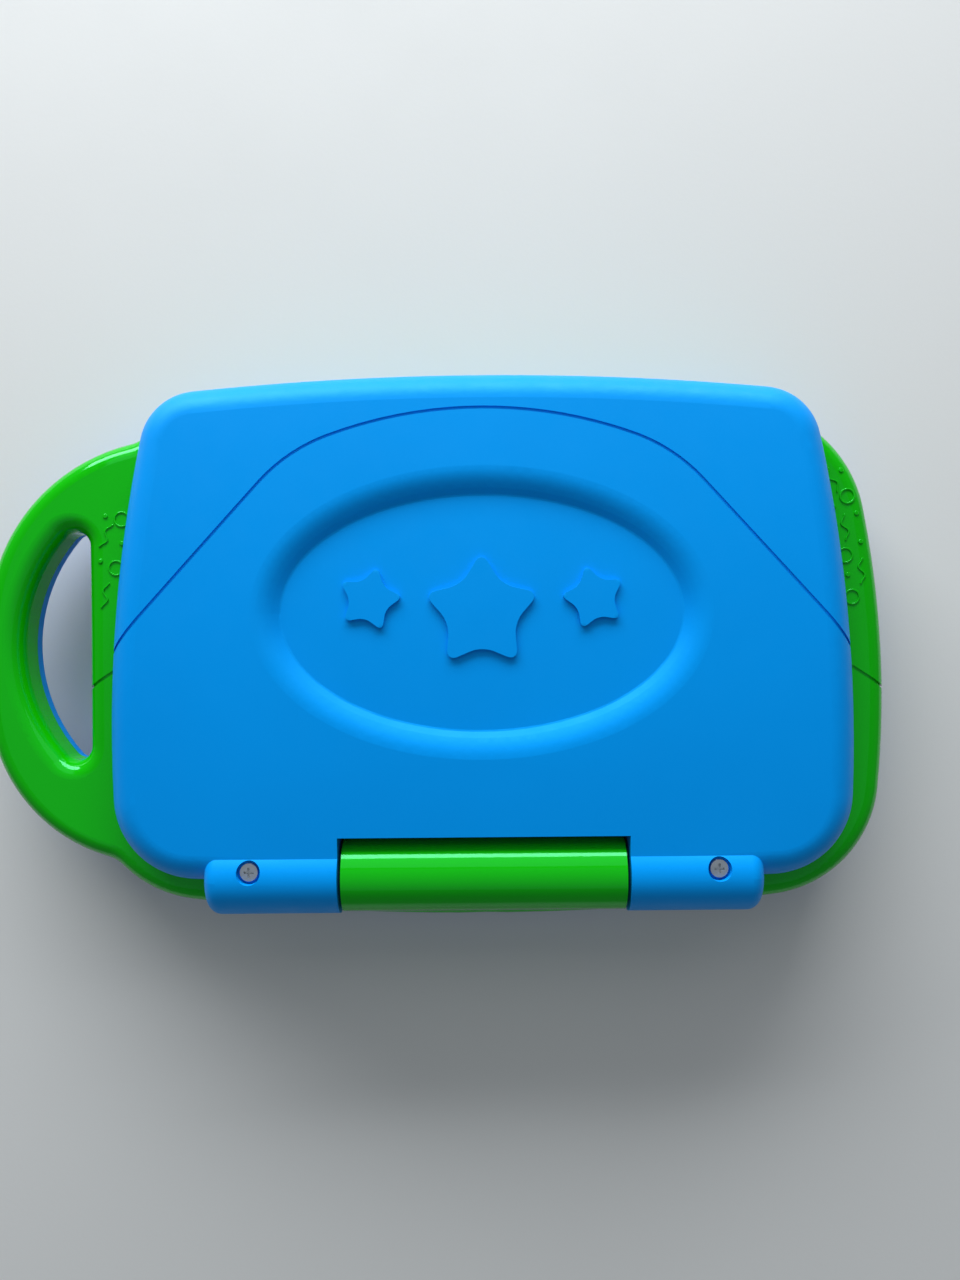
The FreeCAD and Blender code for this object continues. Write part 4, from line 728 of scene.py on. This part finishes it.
@dataclass
class DeckRelief:
    """Fine raised rings, dots and waves moulded on both sides of the deck, in front of its grooves."""

    rack: FinishRack
    body: str = "base"
    carrier: str = "base_top_shell"
    ring_radius: float = 2.5 * MM
    ring_band: float = 0.6 * MM
    ring_points: int = 28
    dot_radius: float = 0.75 * MM
    dot_points: int = 16
    wave_length: float = 8.0 * MM
    wave_width: float = 0.6 * MM
    wave_height: float = 0.8 * MM
    wave_crests: float = 1.5
    wave_steps: int = 36
    wave_rows: int = 2
    rise: float = 0.36 * MM
    sunk: float = 0.12 * MM
    edge: float = 0.2 * MM
    lift: float = 12.0 * MM
    far_side: tuple[Stamp, ...] = (
        Stamp(Motif.DOT, 111.0, -51.6),
        Stamp(Motif.WAVE, 108.4, -48.6, 58.0),
        Stamp(Motif.RING, 112.8, -43.6),
        Stamp(Motif.DOT, 108.6, -40.4),
        Stamp(Motif.DOT, 115.6, -38.4),
        Stamp(Motif.WAVE, 112.0, -34.0, 75.0),
        Stamp(Motif.RING, 112.0, -25.4),
        Stamp(Motif.DOT, 116.8, -29.6),
        Stamp(Motif.WAVE, 117.0, -20.6, 82.0),
        Stamp(Motif.DOT, 112.8, -19.4),
        Stamp(Motif.RING, 114.0, -12.6),
    )
    handle_side: tuple[Stamp, ...] = (
        Stamp(Motif.RING, 110.6, -38.4),
        Stamp(Motif.DOT, 115.6, -39.4),
        Stamp(Motif.WAVE, 115.4, -33.4, 70.0),
        Stamp(Motif.DOT, 110.6, -31.0),
        Stamp(Motif.DOT, 117.2, -25.6),
        Stamp(Motif.RING, 112.4, -23.4),
        Stamp(Motif.WAVE, 115.8, -15.0, 84.0),
        Stamp(Motif.DOT, 111.0, -13.6),
    )

    def wave(self) -> bpy.types.Object:
        """Model one flat wavy bar along X about the origin.

        Returns:
            The bar's sheet.
        """
        bpy.ops.mesh.primitive_grid_add(x_subdivisions=self.wave_steps, y_subdivisions=self.wave_rows,
                                        size=1.0)
        sheet = start("relief_wave")
        sheet.scale = (self.wave_length, self.wave_width, 1.0)
        settle(sheet)
        for vertex in sheet.data.vertices:
            phase = math.tau * vertex.co.x / self.wave_length * self.wave_crests
            vertex.co.y += self.wave_height * math.sin(phase)
        return sheet

    def lay_side(self, name: str, stamps: tuple[Stamp, ...], hand: float,
                 masters: dict[Motif, bpy.types.Object]) -> None:
        """Lay one side's motifs on the deck as one piece.

        Args:
            name: The piece's name.
            stamps: The motifs in their places.
            hand: 1 for the handle's side, -1 for the other.
            masters: The sheet of each motif.
        """
        sheets = []
        for stamp in stamps:
            place = MIDDLE + Vector((hand * stamp.x * MM, stamp.y * MM, DECK_Z + self.lift))
            sheets.append(copy_to(masters[stamp.motif], place, math.radians(hand * stamp.turn)))
        piece = join(sheets, name)
        lay_on(piece, self.carrier, -self.sunk)
        raise_from(piece, self.rise + self.sunk, self.edge)
        self.rack.dress_piece(piece, GREEN_ABS, "green_plastic", self.body)

    def build(self) -> None:
        """Model the motifs once, lay them on both sides and drop the masters."""
        hole = self.ring_radius - self.ring_band
        masters = {
            Motif.RING: disc("relief_ring", self.ring_radius, self.ring_points, hole),
            Motif.DOT: disc("relief_dot", self.dot_radius, self.dot_points),
            Motif.WAVE: self.wave(),
        }
        self.lay_side("deck_relief_handle_side", self.handle_side, 1.0, masters)
        self.lay_side("deck_relief_far_side", self.far_side, -1.0, masters)
        for master in masters.values():
            discard(master)


@dataclass
class KeyLegends:
    """White pad-printed letters on the keys and numbers on the mode buttons."""

    rack: FinishRack
    letters: str = "abcdefghijklmnopqrstuvwxyz"
    buttons: int = 5
    letter_size: float = 8.8 * MM
    number_size: float = 7.4 * MM
    lift: float = 3.0 * MM
    clear: float = 0.02 * MM
    ink: float = 0.05 * MM

    def legend(self, name: str, text: str, node: str, size: float) -> None:
        """Print one character on a key's dished top.

        Args:
            name: The piece's name.
            text: The character.
            node: The key, which is also its body.
            size: The height of the type in metres.
        """
        low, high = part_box(node)
        middle = (low + high) / 2
        bpy.ops.object.select_all(action="DESELECT")
        bpy.ops.object.text_add(location=(middle.x, middle.y, high.z + self.lift))
        letter = start(name)
        letter.data.body = text
        letter.data.align_x = "CENTER"
        letter.data.align_y = "CENTER"
        letter.data.size = size
        bpy.ops.object.convert(target="MESH")
        letter = start(name)
        settle(letter)
        lay_on(letter, node, self.clear)
        wall = letter.modifiers.new("ink", "SOLIDIFY")
        wall.thickness = self.ink
        wall.offset = 1.0
        apply_modifiers(letter)
        self.rack.dress_piece(letter, WHITE_INK, "white_plastic", node)

    def build(self) -> None:
        """Print every key and button."""
        for letter in self.letters:
            self.legend(f"legend_{letter}", letter.upper(), f"key_{letter}", self.letter_size)
        for number in range(1, self.buttons + 1):
            self.legend(f"legend_{number}", str(number), f"mode_button_{number}", self.number_size)


@dataclass
class ScreenTrim:
    """The printed mask behind the window and the raised frame round it, on the lid's inner face."""

    rack: FinishRack
    body: str = "lid"
    centre_y: float = -9.0 * MM
    window: tuple[float, float] = (104.0 * MM, 62.0 * MM)
    corner: float = 5.0 * MM
    mask_band: float = 5.5 * MM
    mask_ink: float = 0.06 * MM
    gap: float = 0.1 * MM
    frame_band: float = 6.0 * MM
    frame_rise: float = 0.55 * MM
    frame_edge: float = 0.25 * MM

    def build(self) -> None:
        """Model the mask and the frame."""
        centre = MIDDLE + Vector((0.0, self.centre_y, 0.0))
        width, depth = self.window
        gap = 2 * self.gap
        mask = rounded_sheet("screen_mask", centre + Vector((0.0, 0.0, LENS_Z)), (width - gap, depth - gap),
                             self.corner - self.gap, self.mask_band)
        raise_from(mask, self.mask_ink, self.mask_ink * INK_EDGE, -1.0)
        self.rack.dress_piece(mask, BLACK_INK, "black_plastic", self.body)
        grow = 2 * self.frame_band
        surround = rounded_sheet("screen_surround", centre + Vector((0.0, 0.0, BEZEL_Z)),
                                 (width + grow, depth + grow), self.corner + self.frame_band,
                                 self.frame_band - self.gap)
        raise_from(surround, self.frame_rise, self.frame_edge, -1.0)
        self.rack.dress_piece(surround, GREEN_ABS, "green_plastic", self.body)


@dataclass
class DeckTrim:
    """Small trim on the deck: the keyboard's frame, the speaker's bead and the switch's marks."""

    rack: FinishRack
    body: str = "base"
    opening: tuple[float, float] = (184.2 * MM, 70.1 * MM)
    opening_y: float = -29.05 * MM
    opening_corner: float = 20.0 * MM
    frame_band: float = 2.2 * MM
    frame_rise: float = 0.5 * MM
    frame_edge: float = 0.25 * MM
    speaker: Vector = field(default_factory=lambda: Vector((-72.0 * MM, 34.0 * MM, DECK_Z)))
    bead_radius: float = 20.0 * MM
    bead_band: float = 1.6 * MM
    bead_rise: float = 0.5 * MM
    bead_edge: float = 0.25 * MM
    bead_points: int = 64
    switch: Vector = field(default_factory=lambda: Vector((76.0 * MM, 34.0 * MM, DECK_Z)))
    mark_reach: float = 8.0 * MM
    mark_ahead: float = 9.6 * MM
    mark_radius: float = 1.8 * MM
    mark_band: float = 0.5 * MM
    mark_corner: float = 0.125 * MM
    ink: float = 0.06 * MM

    def build(self) -> None:
        """Model the frame, the bead and the two marks."""
        place = MIDDLE + Vector((0.0, self.opening_y, DECK_Z))
        grow = 2 * self.frame_band
        rim = rounded_sheet("keyboard_frame", place, (self.opening[0] + grow, self.opening[1] + grow),
                            self.opening_corner + self.frame_band, self.frame_band)
        raise_from(rim, self.frame_rise, self.frame_edge)
        self.rack.dress_piece(rim, BLUE_ABS, "blue_plastic", self.body)
        master = disc("bead_master", self.bead_radius, self.bead_points, self.bead_radius - self.bead_band)
        bead = copy_to(master, MIDDLE + self.speaker)
        discard(master)
        bead.name = "speaker_bead"
        raise_from(bead, self.bead_rise, self.bead_edge)
        self.rack.dress_piece(bead, GREEN_ABS, "green_plastic", self.body)
        self.marks()

    def marks(self) -> None:
        """Print a ring for off and a bar for on beside the slider."""
        middle = MIDDLE + self.switch + Vector((0.0, self.mark_ahead, 0.0))
        reach = Vector((self.mark_reach, 0.0, 0.0))
        master = disc("mark_master", self.mark_radius, hole=self.mark_radius - self.mark_band)
        off = copy_to(master, middle - reach)
        discard(master)
        off.name = "mark_off"
        bar = rounded_sheet("mark_on", middle + reach, (self.mark_band, 2 * self.mark_radius),
                            self.mark_corner)
        for mark in (off, bar):
            raise_from(mark, self.ink, self.ink * INK_EDGE)
            self.rack.dress_piece(mark, WHITE_INK, "white_plastic", self.body)


@dataclass
class DoorGrip:
    """Raised bars that give a thumb hold on the battery door's underside."""

    rack: FinishRack
    body: str = "base"
    node: str = "battery_door"
    bars: int = 5
    bar: tuple[float, float] = (1.4 * MM, 16.0 * MM)
    bar_corner: float = 0.63 * MM
    pitch: float = 3.2 * MM
    from_end: float = 10.0 * MM
    rise: float = 0.6 * MM
    edge: float = 0.24 * MM

    def build(self) -> None:
        """Model one bar, copy it along the door and join the copies."""
        low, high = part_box(self.node)
        master = rounded_sheet("door_bar", Vector((0.0, 0.0, 0.0)), self.bar, self.bar_corner)
        sheets = []
        for index in range(self.bars):
            x = low.x + self.from_end + index * self.pitch
            sheets.append(copy_to(master, Vector((x, (low.y + high.y) / 2, low.z))))
        discard(master)
        grip = join(sheets, "battery_door_grip")
        raise_from(grip, self.rise, self.edge, -1.0)
        self.rack.dress_piece(grip, BLUE_ABS, "blue_plastic", self.body)


@dataclass(frozen=True)
class SoftPanel:
    """A light panel: where it hangs, its width and height in metres, its power in watts and its tint."""

    name: str
    place: tuple[float, float, float]
    size: tuple[float, float]
    watts: float
    tint: tuple[float, float, float]


@dataclass
class Studio:
    """A pale floor, soft daylight from the opening side and the camera straight above.

    The light comes from a low wide window, a diffuser nearer to the lid, a dim ceiling and the room's glow.
    """

    lens: float = 27.06
    camera_place: Vector = field(default_factory=lambda: Vector((-14.0, -2.8, 325.7)) * MM)
    # In degrees, about X, Y and Z
    camera_tilt: tuple[float, float, float] = (0.0, 0.0, -0.5)
    camera_near: float = 10.0 * MM
    target: Vector = field(default_factory=lambda: Vector((0.0, 0.0, 0.03)))
    floor_size: float = 24.0
    floor_drop: float = 0.05 * MM
    room_glow: float = 0.17
    panels: tuple[SoftPanel, ...] = (
        SoftPanel("window", (0.2, -1.2, 0.5), (1.7, 0.5), 31.0, DAYLIGHT),
        SoftPanel("diffuser", (0.0, -0.4, 0.46), (0.8, 0.4), 0.9, DAYLIGHT),
        SoftPanel("ceiling", (0.0, 0.3, 1.9), (2.4, 2.4), 4.0, SKYLIGHT),
    )

    def floor(self) -> None:
        """Lay the floor under the feet."""
        bpy.ops.object.select_all(action="DESELECT")
        bpy.ops.mesh.primitive_plane_add(size=self.floor_size, location=(0.0, 0.0, -self.floor_drop))
        floor = start("studio_floor")
        floor.data.materials.append(PAINTED_BOARD.build())

    def hang(self, panel: SoftPanel) -> None:
        """Hang one light panel and point it at the lid.

        Args:
            panel: The panel.
        """
        bpy.ops.object.light_add(type="AREA", location=panel.place)
        light = bpy.context.object
        light.name = panel.name
        light.data.shape = "RECTANGLE"
        light.data.size, light.data.size_y = panel.size
        light.data.energy = panel.watts
        light.data.color = panel.tint
        light.rotation_euler = (self.target - Vector(panel.place)).to_track_quat("-Z", "Y").to_euler()

    def room(self) -> None:
        """Let the room itself glow faintly."""
        world = bpy.data.worlds.new("soft_room")
        world.use_nodes = True
        background = world.node_tree.nodes["Background"]
        background.inputs["Color"].default_value = (*SKYLIGHT, 1.0)
        background.inputs["Strength"].default_value = self.room_glow
        bpy.context.scene.world = world

    def camera(self) -> None:
        """Set the camera over the lid, its top towards the opening side."""
        pitch, yaw, roll = (math.radians(angle) for angle in self.camera_tilt)
        turn = Euler((pitch, yaw, math.pi + roll), "XYZ")
        bpy.ops.object.camera_add(location=self.camera_place, rotation=turn)
        camera = bpy.context.object
        camera.name = "photo_camera"
        camera.data.lens = self.lens
        camera.data.clip_start = self.camera_near
        bpy.context.scene.camera = camera

    def build(self) -> None:
        """Make the floor, the lights and the camera."""
        self.floor()
        for panel in self.panels:
            self.hang(panel)
        self.room()
        self.camera()
        bpy.context.scene.view_settings.view_transform = "Standard"


def main() -> None:
    """Dress the CAD nodes, add the fine pieces and set the studio."""
    logging.basicConfig(level=logging.INFO, format="%(message)s")
    rack = FinishRack()
    for part in frame["record"]["subparts"]:
        rack.dress_node(part["node"], part["material_slot"])
    for assembly in (DishStars(rack), DeckRelief(rack), KeyLegends(rack), ScreenTrim(rack), DeckTrim(rack),
                     DoorGrip(rack), Studio()):
        assembly.build()


if __name__ == "__main__":
    main()
